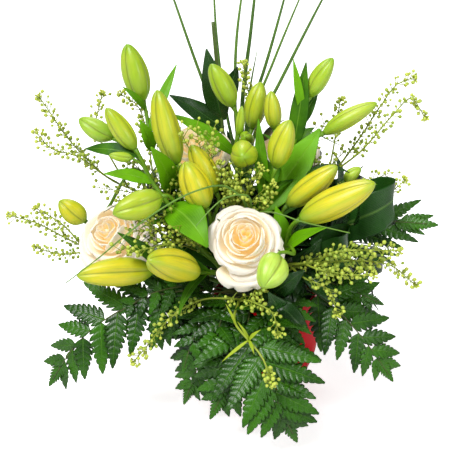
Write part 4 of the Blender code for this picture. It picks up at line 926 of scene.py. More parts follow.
# Leaves: dark and light green by patches and by each leaf's own shade, paler along the rib and the veins
def leafLook(name):
    paint = leafPaint[name]
    roughness = paint["roughness"]
    made, tree, shader = newLook(name, roughness, {"Specular IOR Level": paint["gloss"]})
    veins = placeVeins(tree, paint["lines"], 0.02, 5.0)
    spots = placeMottle(tree, 38.0, 900.0)
    share = plus(tree, times(tree, spots["Patch"], 0.45), spots["Tint"], True)
    colour = mixColours(tree, share, paint["dark"], paint["light"])
    colour = mixColours(tree, times(tree, veins["Line"], paint["veinShare"]), colour, paint["rib"])
    colour = mixColours(tree, times(tree, veins["Rib"], paint["ribShare"]), colour, paint["rib"])
    tree.links.new(colour, shader.inputs["Base Color"])
    rough = stretch(tree, spots["Grain"], 0.3, 0.7, roughness - 0.06, roughness + 0.1)
    tree.links.new(rough, shader.inputs["Roughness"])
    height = minus(tree, times(tree, spots["Grain"], 0.25), veins["Line"])
    bump(tree, shader, minus(tree, height, times(tree, veins["Rib"], 1.5)), 0.6, paint["depth"])
    return made


budPaint = {
    "ends": (0.16, 0.38, 0.012),
    "green": (0.30, 0.52, 0.016),    # the middle of a bud of shade 0
    "yellow": (0.74, 0.62, 0.010),   # and of shade 1
    "pale": (0.54, 0.78, 0.11),      # shades under 0 are the palest buds
    "rib": (0.24, 0.44, 0.02),
    # darker olive at the seams: partly their own tint, partly painted shade in the grooves
    "seamAndShade": (0.17, 0.21, 0.012),
    "streak": (0.26, 0.38, 0.02),
    "patch": (0.78, 0.74, 0.16),
    "toEnds": [(0.0, 1.0), (0.16, 0.45), (0.42, 0.06), (0.80, 0.12), (1.0, 0.75)],
}


# A closed bud: green at both ends, yellower in the middle by the bud's own shade, three green ribs, darker
# seams that are partly their own tint and partly painted shade in the grooves, and many fine streaks along it
def budLook():
    made, tree, shader = newLook("budSkin", 0.36, {
        "Subsurface Weight": 0.1, "Subsurface Scale": 0.004, "Specular IOR Level": 0.45})
    across, along = uvParts(tree)
    spots = placeMottle(tree, 45.0, 1100.0)
    middle = mixColours(tree, spots["Tint"], budPaint["green"], budPaint["yellow"])
    middle = mixColours(tree, times(tree, spots["Tint"], -1.0, True), middle, budPaint["pale"])
    colour = mixColours(tree, greyRamp(tree, along, budPaint["toEnds"]), middle, budPaint["ends"])
    lobe = mathNode(tree, "FRACT", times(tree, across, 3.0))
    fromRib = mathNode(tree, "ABSOLUTE", minus(tree, lobe, 0.5))  # 0.5 at the rib, 0 at the seam
    rib = stretch(tree, fromRib, 0.36, 0.5, kind="SMOOTHSTEP")
    seamAndShade = stretch(tree, fromRib, 0.07, 0.0, kind="SMOOTHSTEP")
    colour = mixColours(tree, times(tree, rib, 0.40), colour, budPaint["rib"])
    # the seams: their own tint and painted shade in the grooves
    colour = mixColours(tree, times(tree, seamAndShade, 0.75), colour, budPaint["seamAndShade"])
    streak = streaks(tree, across, along, 60.0, 3.0)
    colour = mixColours(
        tree, times(tree, stretch(tree, streak, 0.45, 0.72), 0.45), colour, budPaint["streak"])
    colour = mixColours(tree, times(tree, spots["Patch"], 0.15), colour, budPaint["patch"])
    tree.links.new(colour, shader.inputs["Base Color"])
    bump(tree, shader, plus(tree, streak, times(tree, spots["Grain"], 0.4)), 0.35, 0.0004)
    return made


petalPaint = {
    "creamPetal": {"rim": (0.88, 0.81, 0.71), "heart": (0.97, 0.75, 0.31)},
    "peachPetal": {"rim": (0.94, 0.85, 0.62), "heart": (0.96, 0.76, 0.34)},
    "patch": (0.93, 0.86, 0.66),
    "vein": (0.86, 0.72, 0.48),
    "toRim": [(0.0, 1.0), (0.45, 0.75), (0.85, 0.18), (1.0, 0.0)],
    # Painted glow of the petals, dim at the rim and bright in the heart: it stands in for light through the
    # thin petals and lightens their shade
    "through": ((0.46, 0.42, 0.36), (1.0, 0.71, 0.26)),
    "throughStrength": 0.22,
}


# A petal: cream at the rim, warmer toward its foot and in the heart of the bloom, with faint veins, and a
# painted glow that is brightest in the heart
def petalLook(name):
    made, tree, shader = newLook(name, 0.55, {
        "Subsurface Weight": 0.2, "Subsurface Scale": 0.4, "Subsurface Radius": (0.010, 0.006, 0.003),
        "Specular IOR Level": 0.25, "Emission Strength": petalPaint["throughStrength"]})
    _, along = uvParts(tree)
    veins = placeVeins(tree, 26.0, 0.05, 3.0)
    spots = placeMottle(tree, 60.0, 1300.0)
    toRim = greyRamp(tree, along, petalPaint["toRim"])
    share = times(tree, toRim, plus(tree, spots["Tint"], 0.35), True)
    colour = mixColours(tree, share, petalPaint[name]["rim"], petalPaint[name]["heart"])
    colour = mixColours(tree, times(tree, spots["Patch"], 0.12), colour, petalPaint["patch"])
    colour = mixColours(tree, times(tree, veins["Line"], 0.10), colour, petalPaint["vein"])
    tree.links.new(colour, shader.inputs["Base Color"])
    # The emission is a painted glow, warmest and brightest in the heart, at the strength set above
    tree.links.new(mixColours(tree, share, *petalPaint["through"]), shader.inputs["Emission Color"])
    bump(tree, shader, plus(tree, veins["Line"], times(tree, spots["Grain"], 0.5)), 0.3, 0.0003)
    return made


stemPaint = {   # from dark to light
    "greenStem": ((0.05, 0.16, 0.004), (0.20, 0.38, 0.012)),
    "oliveStalk": ((0.035, 0.075, 0.010), (0.12, 0.18, 0.03)),
    "fernRib": ((0.035, 0.045, 0.010), (0.10, 0.13, 0.03)),
    "twig": ((0.14, 0.24, 0.015), (0.42, 0.48, 0.05)),
}


def stemLook(name):  # a green stem with lengthwise streaks
    made, tree, shader = newLook(name, 0.45, {"Specular IOR Level": 0.4})
    spots = placeMottle(tree, 60.0, 1000.0)
    streak = streaks(tree, *uvParts(tree), 14.0, 6.0)
    share = plus(tree, times(tree, streak, 0.7), times(tree, spots["Patch"], 0.3), True)
    tree.links.new(mixColours(tree, share, *stemPaint[name]), shader.inputs["Base Color"])
    bump(tree, shader, plus(tree, streak, spots["Grain"]), 0.4, 0.0003)
    return made


podPaint = {
    "dark": (0.18, 0.31, 0.020),
    "light": (0.58, 0.66, 0.08),
    "ends": (0.40, 0.42, 0.06),
    "patch": (0.32, 0.48, 0.06),
    "toEnds": [(0.0, 0.5), (0.25, 0.0), (0.8, 0.0), (1.0, 0.8)],
}


def podLook():  # green pods, each of its own shade, another green at the stalk and at the top
    made, tree, shader = newLook("podSkin", 0.5, {"Subsurface Weight": 0.1, "Subsurface Scale": 0.003})
    _, along = uvParts(tree)
    spots = placeMottle(tree, 160.0, 1500.0)
    colour = mixColours(tree, spots["Tint"], podPaint["dark"], podPaint["light"])
    colour = mixColours(tree, greyRamp(tree, along, podPaint["toEnds"]), colour, podPaint["ends"])
    colour = mixColours(tree, times(tree, spots["Patch"], 0.25), colour, podPaint["patch"])
    tree.links.new(colour, shader.inputs["Base Color"])
    bump(tree, shader, spots["Grain"], 0.5, 0.0003)
    return made


glazePaint = {"deep": (0.66, 0.002, 0.006), "bright": (0.82, 0.004, 0.012), "speck": (0.30, 0.004, 0.012)}


def glazeLook():  # deep red glaze under a thin clear coat, a little uneven
    made, tree, shader = newLook("redGlaze", 0.3, {
        "Coat Weight": 0.10, "Coat Roughness": 0.05, "Specular IOR Level": 0.05})
    spots = placeMottle(tree, 14.0, 420.0)
    colour = mixColours(tree, spots["Patch"], glazePaint["deep"], glazePaint["bright"])
    speck = times(tree, stretch(tree, spots["Grain"], 0.66, 0.74), 0.35)
    tree.links.new(mixColours(tree, speck, colour, glazePaint["speck"]), shader.inputs["Base Color"])
    tree.links.new(stretch(tree, spots["Patch"], 0.0, 1.0, 0.16, 0.28), shader.inputs["Roughness"])
    bump(tree, shader, spots["Patch"], 0.12, 0.001)
    return made


foamPaint = {"wet": (0.012, 0.035, 0.014), "drier": (0.03, 0.085, 0.03), "poreShade": (0.006, 0.016, 0.007)}


def foamLook():  # wet foam: dark green, with painted shade in its fine pores, and darker wet patches
    made, tree, shader = newLook("wetFoam", 0.75, {})
    pores = addNode(
        tree, "ShaderNodeTexVoronoi", None, Vector=objectPlace(tree), Scale=600.0).outputs["Distance"]
    spots = placeMottle(tree, 40.0, 500.0)
    colour = mixColours(tree, spots["Patch"], foamPaint["wet"], foamPaint["drier"])
    # painted shade in the pores
    colour = mixColours(tree, stretch(tree, pores, 0.25, 0.6, 0.7, 0.0), colour, foamPaint["poreShade"])
    tree.links.new(colour, shader.inputs["Base Color"])
    tree.links.new(stretch(tree, spots["Patch"], 0.0, 1.0, 0.5, 0.9), shader.inputs["Roughness"])
    bump(tree, shader, pores, 0.8, 0.001)
    return made


looks = {
    "bud": budLook(), "pod": podLook(), "glaze": glazeLook(), "foam": foamLook(),
    "lilyLeaf": leafLook("lilyLeaf"), "darkLeafAndShade": leafLook("darkLeafAndShade"),
    "aspidistra": leafLook("aspidistraLeaf"),
    "fern": leafLook("fernLeaf"), "grass": leafLook("grassBlade"), "youngLeaf": leafLook("youngLeaf"),
    "stem": stemLook("greenStem"), "darkStem": stemLook("oliveStalk"), "fernRib": stemLook("fernRib"),
    "twig": stemLook("twig"), "petal": petalLook("creamPetal"), "peach": petalLook("peachPetal"),
}

chance = np.random.default_rng(11)   # every random number comes from here, in the order of the pieces


def dressNode(name, look):  # a CAD node that stays, with a finer material
    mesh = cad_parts[name].data
    mesh.materials.clear()
    mesh.materials.append(look)


print("pot and foam")


# A turned solid: each (radius, height) of the profile swept round the upright axis
def latheRings(profile, sides):
    p = np.array(profile)
    a = np.linspace(0.0, 2 * np.pi, sides, endpoint=False)
    return np.stack([p[:, :1] * np.cos(a), p[:, :1] * np.sin(a), np.repeat(p[:, 1:], sides, axis=1)], axis=-1)


def potProfile():  # the outline smoothed, the rounded lip, and the inside back down to the floor
    radius, height, bevel, wall = pot["radius"], pot["height"], pot["lipBevel"], pot["wall"]
    outline = [(r * radius, h * height, 0.0) for r, h in pot["outline"]]
    outside = finePath(outline + [(pot["lip"] * radius, height - bevel, 0.0)], 40)[:, :2]
    a = np.linspace(0.0, np.pi, 9)
    middle = outside[-1][0] - wall / 2
    lip = np.stack([middle + wall / 2 * np.cos(a), height - bevel + bevel * np.sin(a)], axis=1)
    footRadius = outside[0][0]
    foot = np.array([
        [footRadius * 0.3, 0.0], [footRadius * 0.7, 0.0],
        [footRadius - 0.0012, 0.0], [footRadius - 0.0003, 0.0004]])
    inside = outside[::-1][outside[::-1, 1] > pot["floor"] * 1.5] - np.array([wall, 0.0])
    floorRadius = inside[-1][0] - pot["floor"]
    bottom = np.array([[floorRadius, pot["floor"]], [floorRadius * 0.5, pot["floor"]]])
    return np.concatenate([foot, outside[1:-1], lip, inside[1:], bottom])


rings = latheRings(potProfile(), pot["sides"])
putPiece("potGlazed", [skins(rings, 0.5, 0, None, None, (0.0, 0.0, 0.0), (0.0, 0.0, pot["floor"]))],
         [looks["glaze"]], "red_glaze", "pot")
dressNode("floral_foam", looks["foam"])

print("buds")
budForm = {
    # how full the bud is at shares of its length
    "share": [0.0, 0.08, 0.17, 0.30, 0.45, 0.62, 0.80, 0.91, 0.97, 1.0],
    "fullness": [0.30, 0.58, 0.80, 0.95, 1.0, 0.92, 0.70, 0.46, 0.25, 0.07],
    "lobes": 0.075,
    "groove": 0.15,
    "ridge": 0.03,
    "beside": 0.022,    # a low swelling on each side of a seam
    "twist": 0.22,
    "bow": 0.015,
    "rings": 36,
    "sides": 42,
    "odd": {            # buds with a shade of their own, or seams cut less deep
        "lily_bud_06": {"shade": -0.3}, "lily_bud_11": {"cut": 0.5}, "lily_bud_18": {"shade": -0.8},
    },
    "slots": {
        "bud_yellow": (3, 4, 8, 16, 17, 19, 20, 22),
        "bud_pale": (2, 5, 7, 12, 13, 18, 21),
        "bud_green": (1, 6, 9, 10, 11, 14, 15),
    },
}


# A closed bud: radius = w/2 fullness(t) (1 + lobes cos 3a - groove at the three seams + ridge along each
# rib), its lobes turned a little toward the tip and stronger there, and its axis bowed by sin(pi t)
def budRings(base, tip, width, bowTurn=0.0, cut=1.0):
    t = np.linspace(0.0, 1.0, budForm["rings"]) ** 0.95
    a = np.linspace(0.0, 2 * np.pi, budForm["sides"], endpoint=False)[None]
    way = unit(np.array(tip - base))
    side = np.array((tip - base).orthogonal().normalized())
    across = np.cross(way, side)
    full = finePath([(s, f, 0.0) for s, f in zip(budForm["share"], budForm["fullness"])], 400)
    fullness = np.interp(t, full[:, 0], full[:, 1])[:, None]
    depth = np.clip(t / 0.15, 0.15, 1.0)[:, None]
    stronger = 1 + 0.7 * np.clip((t - 0.75) / 0.25, 0.0, 1.0)[:, None]
    fromSeam = np.mod(3 * a / (2 * np.pi), 1.0) - 0.5
    groove = budForm["groove"] * np.exp(-(np.abs(fromSeam) / 0.075) ** 1.5)
    ridge = budForm["ridge"] * np.exp(-((np.abs(fromSeam) - 0.5) / 0.06) ** 2)
    beside = budForm["beside"] * np.exp(-((np.abs(fromSeam) - 0.26) / 0.12) ** 2)
    carved = (budForm["lobes"] * np.cos(3 * a) - groove + ridge + beside) * depth * stronger * cut
    radius = width / 2 * fullness * (1 + carved)
    turn = a + (budForm["twist"] * t ** 2)[:, None]
    out = side * np.cos(turn)[..., None] + across * np.sin(turn)[..., None]
    bow = side * math.cos(bowTurn) + across * math.sin(bowTurn)
    line = np.array(base) + np.outer(t, np.array(tip - base))
    line = line + np.outer(np.sin(np.pi * t) * budForm["bow"] * (tip - base).length, bow)
    return line[:, None] + out * radius[..., None]




for stem in lilyStems.values():
    for name, base, tip, width, _, _, shade in stem["buds"]:
        base, tip, odd = spot(base), spot(tip), budForm["odd"].get(name, {})
        slotName = next(s for s, numbers in budForm["slots"].items() if int(name[-2:]) in numbers)
        rings = budRings(base, tip, realWidth(width, base), chance.uniform(0.0, 6.0), odd.get("cut", 1.0))
        putPiece(name + "_closed", [skins(rings, odd.get("shade", shade))], [looks["bud"]], slotName, name)

print("lily stems and leaves")
leafShades = {
    "most": (0.35, 0.85),
    "dark": ((84, 147), (118, 232), (306, 62), (318, 92)),       # tips of the darkest leaves
    # the leaf at (153, 148) is painted lighter, partly for its own colour and partly against the shade that
    # falls on it
    "bright": ((153, 148), (140, 120), (323, 226), (294, 59)),   # and of the brightest
}


def leafFacing(tip):  # a leaf of the front looks at the eye and up, one of the back outward and up
    if tip.y < 0.08:
        return (-lookWay + Vector((0.0, 0.0, 0.6))).normalized()
    return ((tip - foam["focus"]).normalized() + Vector((0.0, 0.0, 1.0))).normalized()


# A rod: a round section along the path, its radius going evenly from first to last, and flared at its end by
# exp(-(distance / 3 mm)^2)
def rodRings(path, first, last, step=0.006, sides=10, flare=0.0):
    points = toArray(path)
    length = np.linalg.norm(np.diff(points, axis=0), axis=1).sum()
    count = int(np.clip(length / step, 6, 64))
    line = finePath(path, count)
    t = np.linspace(0.0, 1.0, count)
    radii = first + (last - first) * t
    radii = radii * (1 + flare * np.exp(-((1 - t) * length / 0.003) ** 2))
    return tubeRings(line, radii, sides)


fillLeaves = {  # leaves inside the arrangement: how many on each stem, their lengths and widths in metres
    "count": {
        "lily_stem_1": 8, "lily_stem_2": 11, "lily_stem_3": 6, "lily_stem_4": 7, "lily_stem_5": 5,
        "lily_stem_6": 5, "lily_stem_7": 8, "lily_stem_8": 7,
    },
    "length": (0.045, 0.085),
    "width": (0.011, 0.019),
    "lowest": 0.10,
    "tries": 3,          # for each leaf
    "points": 60,        # along the stem, of which the leaves take these
    "zone": (4, 48),
}


# Leaves set round the stem on a golden turn where they are clear
def fillLeafList(name, rods, others, wanted):
    line = finePath(rods[0][0][2:], fillLeaves["points"])
    way, side, across = pathFrame(line)
    (low, high), tries = fillLeaves["zone"], wanted * fillLeaves["tries"]
    found = []
    for k in range(tries):
        if len(found) == wanted:
            break
        i = int(low + (high - low) * (k + 0.5) / tries)
        level = crossWay(side[i], across[i], goldenTurn * k + 0.7)
        length = chance.uniform(*fillLeaves["length"])
        width = chance.uniform(*fillLeaves["width"])
        lean = chance.uniform(0.55, 1.1)
        tip = line[i] + unit(way[i] * lean + level) * length
        rings = leafRings(line[i], tip, width, 0.006, unit(way[i] - 0.3 * level), k, 0.12)
        if (tip[2] > fillLeaves["lowest"] and not coversOpen(rings)
                and not sheetTree(rings[4:]).overlap(others)):
            found.append(rings)
    print(name, "has", len(found), "more leaves")
    return found


for name, stem in lilyStems.items():
    rods = lilyRods(stem, stemWays[name])
    flares = [0.5] * len(stem["buds"]) + [0.0] * len(stem["small"])
    parts = [skins(rodRings(*rod, flare=flare), look=1) for rod, flare in zip(rods, flares)]
    for base, tip, width, _ in stem["small"]:
        start, end = spot(base), spot(tip)
        size = realWidth(width, start)
        parts.append(skins(budRings(start - (end - start) * 0.03, end, size), 0.12, 2))
    lines = aboveFoam(rods)
    for k, (rootPixel, tip, width, bow) in enumerate(stem["leaves"]):
        shade = chance.uniform(*leafShades["most"])
        shade = -0.1 if tip[:2] in leafShades["dark"] else 1.25 if tip[:2] in leafShades["bright"] else shade
        tip = spot(tip)
        root = nearestOn(lines, rootPixel)[0]
        rings = leafRings(root, tip, realWidth(width, tip) * 1.1, bow * 0.001, leafFacing(tip), 1.7 * k, 0.04)
        parts.append(skins(rings, shade, 0, bladeU))
    for rings in fillLeafList(name, rods, othersTree(name), fillLeaves["count"][name]):
        # Leaves inside are painted darker than the outer ones: painted shade deep in the arrangement
        parts.append(skins(rings, chance.uniform(-0.3, 0.2), 0, bladeU))
    putPiece(name + "_leafy", parts, [looks["lilyLeaf"], looks["stem"], looks["bud"]], "lily_leaf", name)

print("roses")
roseForm = {
    "golden": math.radians(137.5),
    "thick": 0.0007,
    "ruffle": 0.022,
    "heart": Vector((-0.02, 0.03, 0.11)),   # the swirl leans up from the bloom's middle
    # Smooth petals over the heart: degrees, share of the cup
    "closing": ((-75, 0.46), (60, 0.56), (175, 0.64)),
    "core": ((0.0, 0.13), (0.3, 0.16), (0.7, 0.10), (0.92, 0.05), (1.0, 0.01)),  # its heights and radii
    # Metres under the bloom, radius
    "hip": ((0.006, 0.0035), (0.004, 0.0058), (0.0015, 0.0062), (0.0004, 0.005)),
    "sepals": 5,
}
petalAngles, petalU = lensSection(30)


# A petal wraps part of the way round the axis. Its radius opens with sin(pi t / 2)^0.8 and rolls out at the
# lip, its height goes with t^1.3 and sinks at the edges by q^2, and only its top corners are rounded off
def petalRings(base, axis, side, reach, rise, lip, half, phase):
    base, axis, side = np.array(base), np.array(axis), np.array(side)
    across = np.cross(axis, side)
    t = (1 - (1 - np.linspace(0.0, 1.0, 18)) ** 1.6)[:, None] * 0.998
    q, z = np.cos(petalAngles)[None], np.sin(petalAngles)[None]
    top = (1 - np.clip((t - 0.66) / 0.34, 0.0, 1.0) ** 3.0) ** 0.42
    turn = half * (0.55 + 0.45 * np.sin(np.pi / 2 * np.minimum(1.0, t / 0.6))) * np.maximum(top, 0.03) * q
    foot = 0.16 * reach + 0.0006
    radius = foot + (reach - foot) * np.sin(np.pi / 2 * t) ** 0.8
    over = np.clip((t - 0.55) / 0.45, 0.0, 1.0)
    radius = radius + lip * over ** 2.2 * (0.50 + 0.55 * q ** 2)
    radius = radius + roseForm["ruffle"] * rise * t ** 3 * np.sin(2.6 * turn + phase)
    height = 0.02 * rise + rise * t ** 1.3 * (1 - 0.10 * t * q ** 2)
    height = height - lip * 0.75 * over ** 4 * (0.35 + 0.8 * q ** 2)
    height = height + roseForm["ruffle"] * rise * t ** 3 * np.sin(2.2 * turn + 1.7 * phase)
    level = side * np.cos(turn)[..., None] + across * np.sin(turn)[..., None]
    thickness = z * roseForm["thick"] / 2
    return base + level * (radius + thickness * 0.8)[..., None] + axis * (height - thickness * 0.4)[..., None]


for key, bloom in roseBlooms.items():
    base, axis, radius = roseBases[key]
    side = axis.orthogonal().normalized()
    down = (upWay.dot(axis) * axis - upWay).normalized()
    cup = radius * bloom["size"]
    toRight, toTop = bloom["moved"]
    cupBase, cupAxis = base + rightWay * toRight + upWay * toTop, (axis + upWay * 0.03).normalized()
    core = toArray([cupBase + cupAxis * radius * h for h, _ in roseForm["core"]])
    parts = [skins(tubeRings(core, radius * np.array([r for _, r in roseForm["core"]]), 16), 1.0)]
    for i in range(bloom["petals"]):
        share = i / (bloom["petals"] - 1)
        turned = Quaternion(cupAxis, roseForm["golden"] * i + chance.uniform(-0.22, 0.22)) @ side
        sway = 0.13 * (1 - share)
        lean = (turned * chance.uniform(-0.02, sway) + roseForm["heart"] * (1 - share) ** 1.5
                + cupAxis).normalized()
        reach = cup * (0.07 + 0.86 * share ** 1.35) * chance.uniform(0.95, 1.05)
        rise = radius * (1.12 - 0.06 * share - 0.44 * share ** 2.6) * chance.uniform(0.95, 1.03)
        half = math.radians(125 - 68 * share ** 0.6)
        rings = petalRings(
            cupBase, lean, turned, reach, rise, cup * (0.01 + 0.27 * share ** 2.4), half, 2.1 * i)
        parts.append(skins(rings, (1.15 - 1.5 * share) * bloom["warmth"], 0, petalU))
    for turn, share in roseForm["closing"]:
        turned = Quaternion(cupAxis, math.radians(turn)) @ down
        rings = petalRings(
            cupBase, cupAxis, turned, cup * share, radius * 1.10, -cup * 0.10, math.radians(62), turn)
        parts.append(skins(rings, 0.75 - share * 0.5, 0, petalU))
    for k, turn in enumerate(bloom["hanging"]):
        turned = Quaternion(axis, math.radians(turn)) @ down
        reach, rise = radius * (0.94 - 0.03 * k), radius * (0.50 + 0.02 * k)
        rings = petalRings(base, axis, turned, reach, rise, radius * 0.24, math.radians(bloom["hangHalf"]), k)
        parts.append(skins(rings, 0.25, 0, petalU))
    putPiece(
        "rose_bloom_" + key + "_petals", parts, [looks[bloom["look"]]], "rose_petal", "rose_bloom_" + key)

    path = rootedPath(stemWays["rose_stem_" + key], [base - axis * 0.012], axis, 4) + [base - axis * 0.0003]
    line = finePath(path, 50)
    share = np.linspace(0.0, 1.0, 50)
    radii = stemSize["rose"] + 0.0034 * np.clip((share - 0.93) / 0.07, 0.0, 1.0) ** 2
    parts = [skins(tubeRings(line, radii, 12), look=1)]
    root = base - axis * 0.0035
    for k in range(roseForm["sepals"]):
        out = Quaternion(axis, 2 * math.pi * k / roseForm["sepals"] + 0.3) @ side
        tip = root + out * 0.024 - axis * 0.010
        rings = leafRings(root + axis * 0.001, tip, 0.008, 0.003, axis + out * 0.2, k, 0.2)
        parts.append(skins(rings, 0.2, 0, bladeU))
    hip = toArray([base - axis * d for d, _ in roseForm["hip"]])
    parts.append(skins(tubeRings(hip, np.array([r for _, r in roseForm["hip"]]), 16), look=1))
    stemName = "rose_stem_" + key
    putPiece(stemName + "_green", parts, [looks["lilyLeaf"], looks["stem"]], "rose_leaf", stemName)

print("fern fronds")
fernForm = {
    "bare": 0.12,         # of the rachis, at its foot
    "denser": 1.2,        # pairs of pinnae here for each pair of the CAD's
    "thick": 0.0006,
    "turns": (66, 38),    # degrees from the rachis, at its foot and at its tip
    "lifts": (0, 9, -9, 18, -18, 30, -30, 42),   # degrees that a pinna is lifted to come clear, tried in turn
    "wide": 0.185,        # a pinna's half width, as a share of its length
    "pitch": 0.0076,      # from one lobe to the next
    "lean": 0.62,         # how far a lobe's end lies ahead of its foot, as a share of its reach
    "lowest": 0.003,      # nothing hangs lower than this over the floor
    "lastPair": 0.24,     # how far before the tip it stands, against the longest pinna
    "endFoot": 0.38,      # and where the end leaflet begins
    "endLengths": (0.54, 0.50, 0.46, 0.42, 0.38, 0.34),   # its length, the first that stays over the floor
    "endHalf": 0.12,
    "endLobes": 8,
}
lobePhase = np.array([0.0, 0.14, 0.36, 0.62, 0.84, 0.95])   # places along one lobe
lobeReach = np.array([0.0, 0.52, 0.86, 1.0, 0.88, 0.42])    # and how far it swells there


# A pinna: the rib goes from the foot outward and droops by t^2. Its half width is an envelope cut between the
# lobes down to a valley that is deep at the foot and shallow at the tip. A lobe leans forward as it goes out
# and swells between its notches
def pinnaRings(foot, out, ahead, normal, length, half, lobes, deep, roll, droop=0.14):
    phase = np.tile(lobePhase, lobes)
    t = (np.repeat(np.arange(lobes), len(lobePhase)) + phase) / (lobes + 0.6)
    t = np.concatenate([t, [lobes / (lobes + 0.6), 0.985]])[:, None]
    reach = np.concatenate([np.tile(lobeReach, lobes), [0.1, 0.1]])[:, None]
    swell = np.concatenate([np.sin(np.pi * phase), [0.0, 0.0]])[:, None]
    q, z = np.cos(plainAngles)[None], np.sin(plainAngles)[None]
    valley = np.clip(deep + (0.80 - deep) * t ** 0.9, 0.12, 0.86)
    envelope = (1 - t ** 2.0) ** 0.75 * (0.70 + 0.30 * np.sin(np.pi * np.minimum(1.0, 0.28 + 0.9 * t)))
    spread = half * envelope * (valley + (1 - valley) * reach) + 0.0005
    along = length * t + fernForm["lean"] * np.abs(q) * spread * (1 - t ** 3)
    rise = -droop * length * t ** 2 + roll * spread * q - 0.10 * spread * q ** 2
    rise = rise + 0.0009 * swell * (np.abs(q) ** 0.8) * np.clip(spread / 0.006, 0.0, 1.2)
    rise = rise - 0.0003 * (np.abs(q) < 0.1)   # the sunken rib
    rise = rise + z * fernForm["thick"] / 2
    return foot + out * along[..., None] + ahead * (spread * q)[..., None] + normal * rise[..., None]


def rachisAt(lengths, tracks, place):  # the point and the three directions at a length along the rachis
    pick = [np.array([np.interp(place, lengths, values[:, k]) for k in range(3)]) for values in tracks]
    return pick[0], unit(pick[1]), unit(pick[2]), unit(pick[3])


# A frond: pairs of pinnae closer together toward the tip, where they are shorter and lean ahead, one
# leaflet at the end, and the rachis. A pinna that can't be lifted clear of the other pieces is left out
def frondParts(frond, path, others):
    line = finePath(path[2:], 80)
    lengths = np.concatenate([[0.0], np.cumsum(np.linalg.norm(np.diff(line, axis=0), axis=1))])
    facing = np.array(Vector(frond["faces"]).normalized())
    way = unit(np.gradient(line, axis=0))
    normal = unit(facing - way * (way @ facing)[:, None])
    side = np.cross(normal, way)
    tracks, length = (line, way, side, normal), lengths[-1]
    start = length * fernForm["bare"]
    pairs = int(round(frond["pairs"] * fernForm["denser"]))
    step = (length - start) / pairs
    longest = realWidth(frond["longest"], Vector(line[-1]))
    wide, narrow = frond.get("turns", fernForm["turns"])
    stacks = {}
    for i in range(pairs):
        share = (i + 0.4) / pairs
        for hand in (-1, 1):
            turn = math.radians(wide + (narrow - wide) * share + chance.uniform(-5, 5))
            size = (longest * min(1.0, 0.8 + 1.2 * share) * (1.0 - 0.66 * share ** 1.5)
                    * chance.uniform(0.88, 1.06))
            later = 0.25 if hand < 0 else 0.6   # left and right alternate
            gone = min((i + later + chance.uniform(-0.08, 0.08)) / pairs, 1.0)
            run = length - fernForm["lastPair"] * longest - start
            place = start + run * (1.0 - (1.0 - max(gone, 0.0)) ** 1.15)
            half = min(size * (fernForm["wide"] + 0.07 * share), 0.84 * step * (1.1 - 0.35 * share))
            half = frond.get("slim", 1.0) * half
            foot, along, beside, up = rachisAt(lengths, tracks, place)
            lobes = int(np.clip(round(size / fernForm["pitch"]), 3, 12))
            for lift in fernForm["lifts"]:
                spin = Quaternion(along * hand, math.radians(lift + chance.uniform(-5, 5)))
                out = np.array(spin @ Vector(along * math.cos(turn) + beside * hand * math.sin(turn)))
                flat = unit(up - out * up.dot(out))
                ahead = unit(np.cross(flat, out))
                ahead = ahead if ahead.dot(along) > 0 else -ahead
                deep, roll = 0.28 + 0.50 * share, chance.uniform(-0.25, 0.25)
                rings = pinnaRings(foot, out, ahead, flat, size, half, lobes, deep, roll)
                low = rings[..., 2].min() < fernForm["lowest"]
                if not low and not coversOpen(rings) and not sheetTree(rings[6:]).overlap(others):
                    tone = np.clip(0.05 + 0.25 * share + chance.uniform(-0.15, 0.25), -0.1, 0.9)
                    stacks.setdefault(lobes, []).append((rings, tone))
                    break
    endFoot = rachisAt(lengths, tracks, length - fernForm["endFoot"] * longest)[0]
    endHalf, endLobes = fernForm["endHalf"] * longest, fernForm["endLobes"]
    for part in fernForm["endLengths"]:
        endWay = unit(line[-1] - endFoot)
        end = pinnaRings(
            endFoot, endWay, side[-1], normal[-1], longest * part, endHalf, endLobes, 0.45, 0.0, 0.03)
        if end[..., 2].min() > fernForm["lowest"]:
            break
    stacks.setdefault(endLobes, []).append((end, 0.4))
    parts = []
    for stack in stacks.values():
        parts.append(skins(np.stack([rings for rings, _ in stack]), [shade for _, shade in stack], 0, plainU))
    rachis = finePath(path[:2] + [Vector(p) for p in line[2::6]] + [Vector(line[-1])], 70)
    sizes = [stemSize["fern"], stemSize["fernTop"] + 0.0002, 0.0004]
    parts.append(
        skins(tubeRings(rachis, np.interp(np.linspace(0, 1, 70), [0.0, 0.3, 1.0], sizes), 8), look=1))
    return parts


def frondPath(frond, way):
    return rootedPath(way, [spot(p) for p in frond["route"] + [frond["tip"]]])


for name, frond in fernFronds.items():
    parts = frondParts(frond, frondPath(frond, stemWays[name]), othersTree(name))
    putPiece(name + "_lobed", parts, [looks["fern"], looks["fernRib"]], "fern_leaf", name)

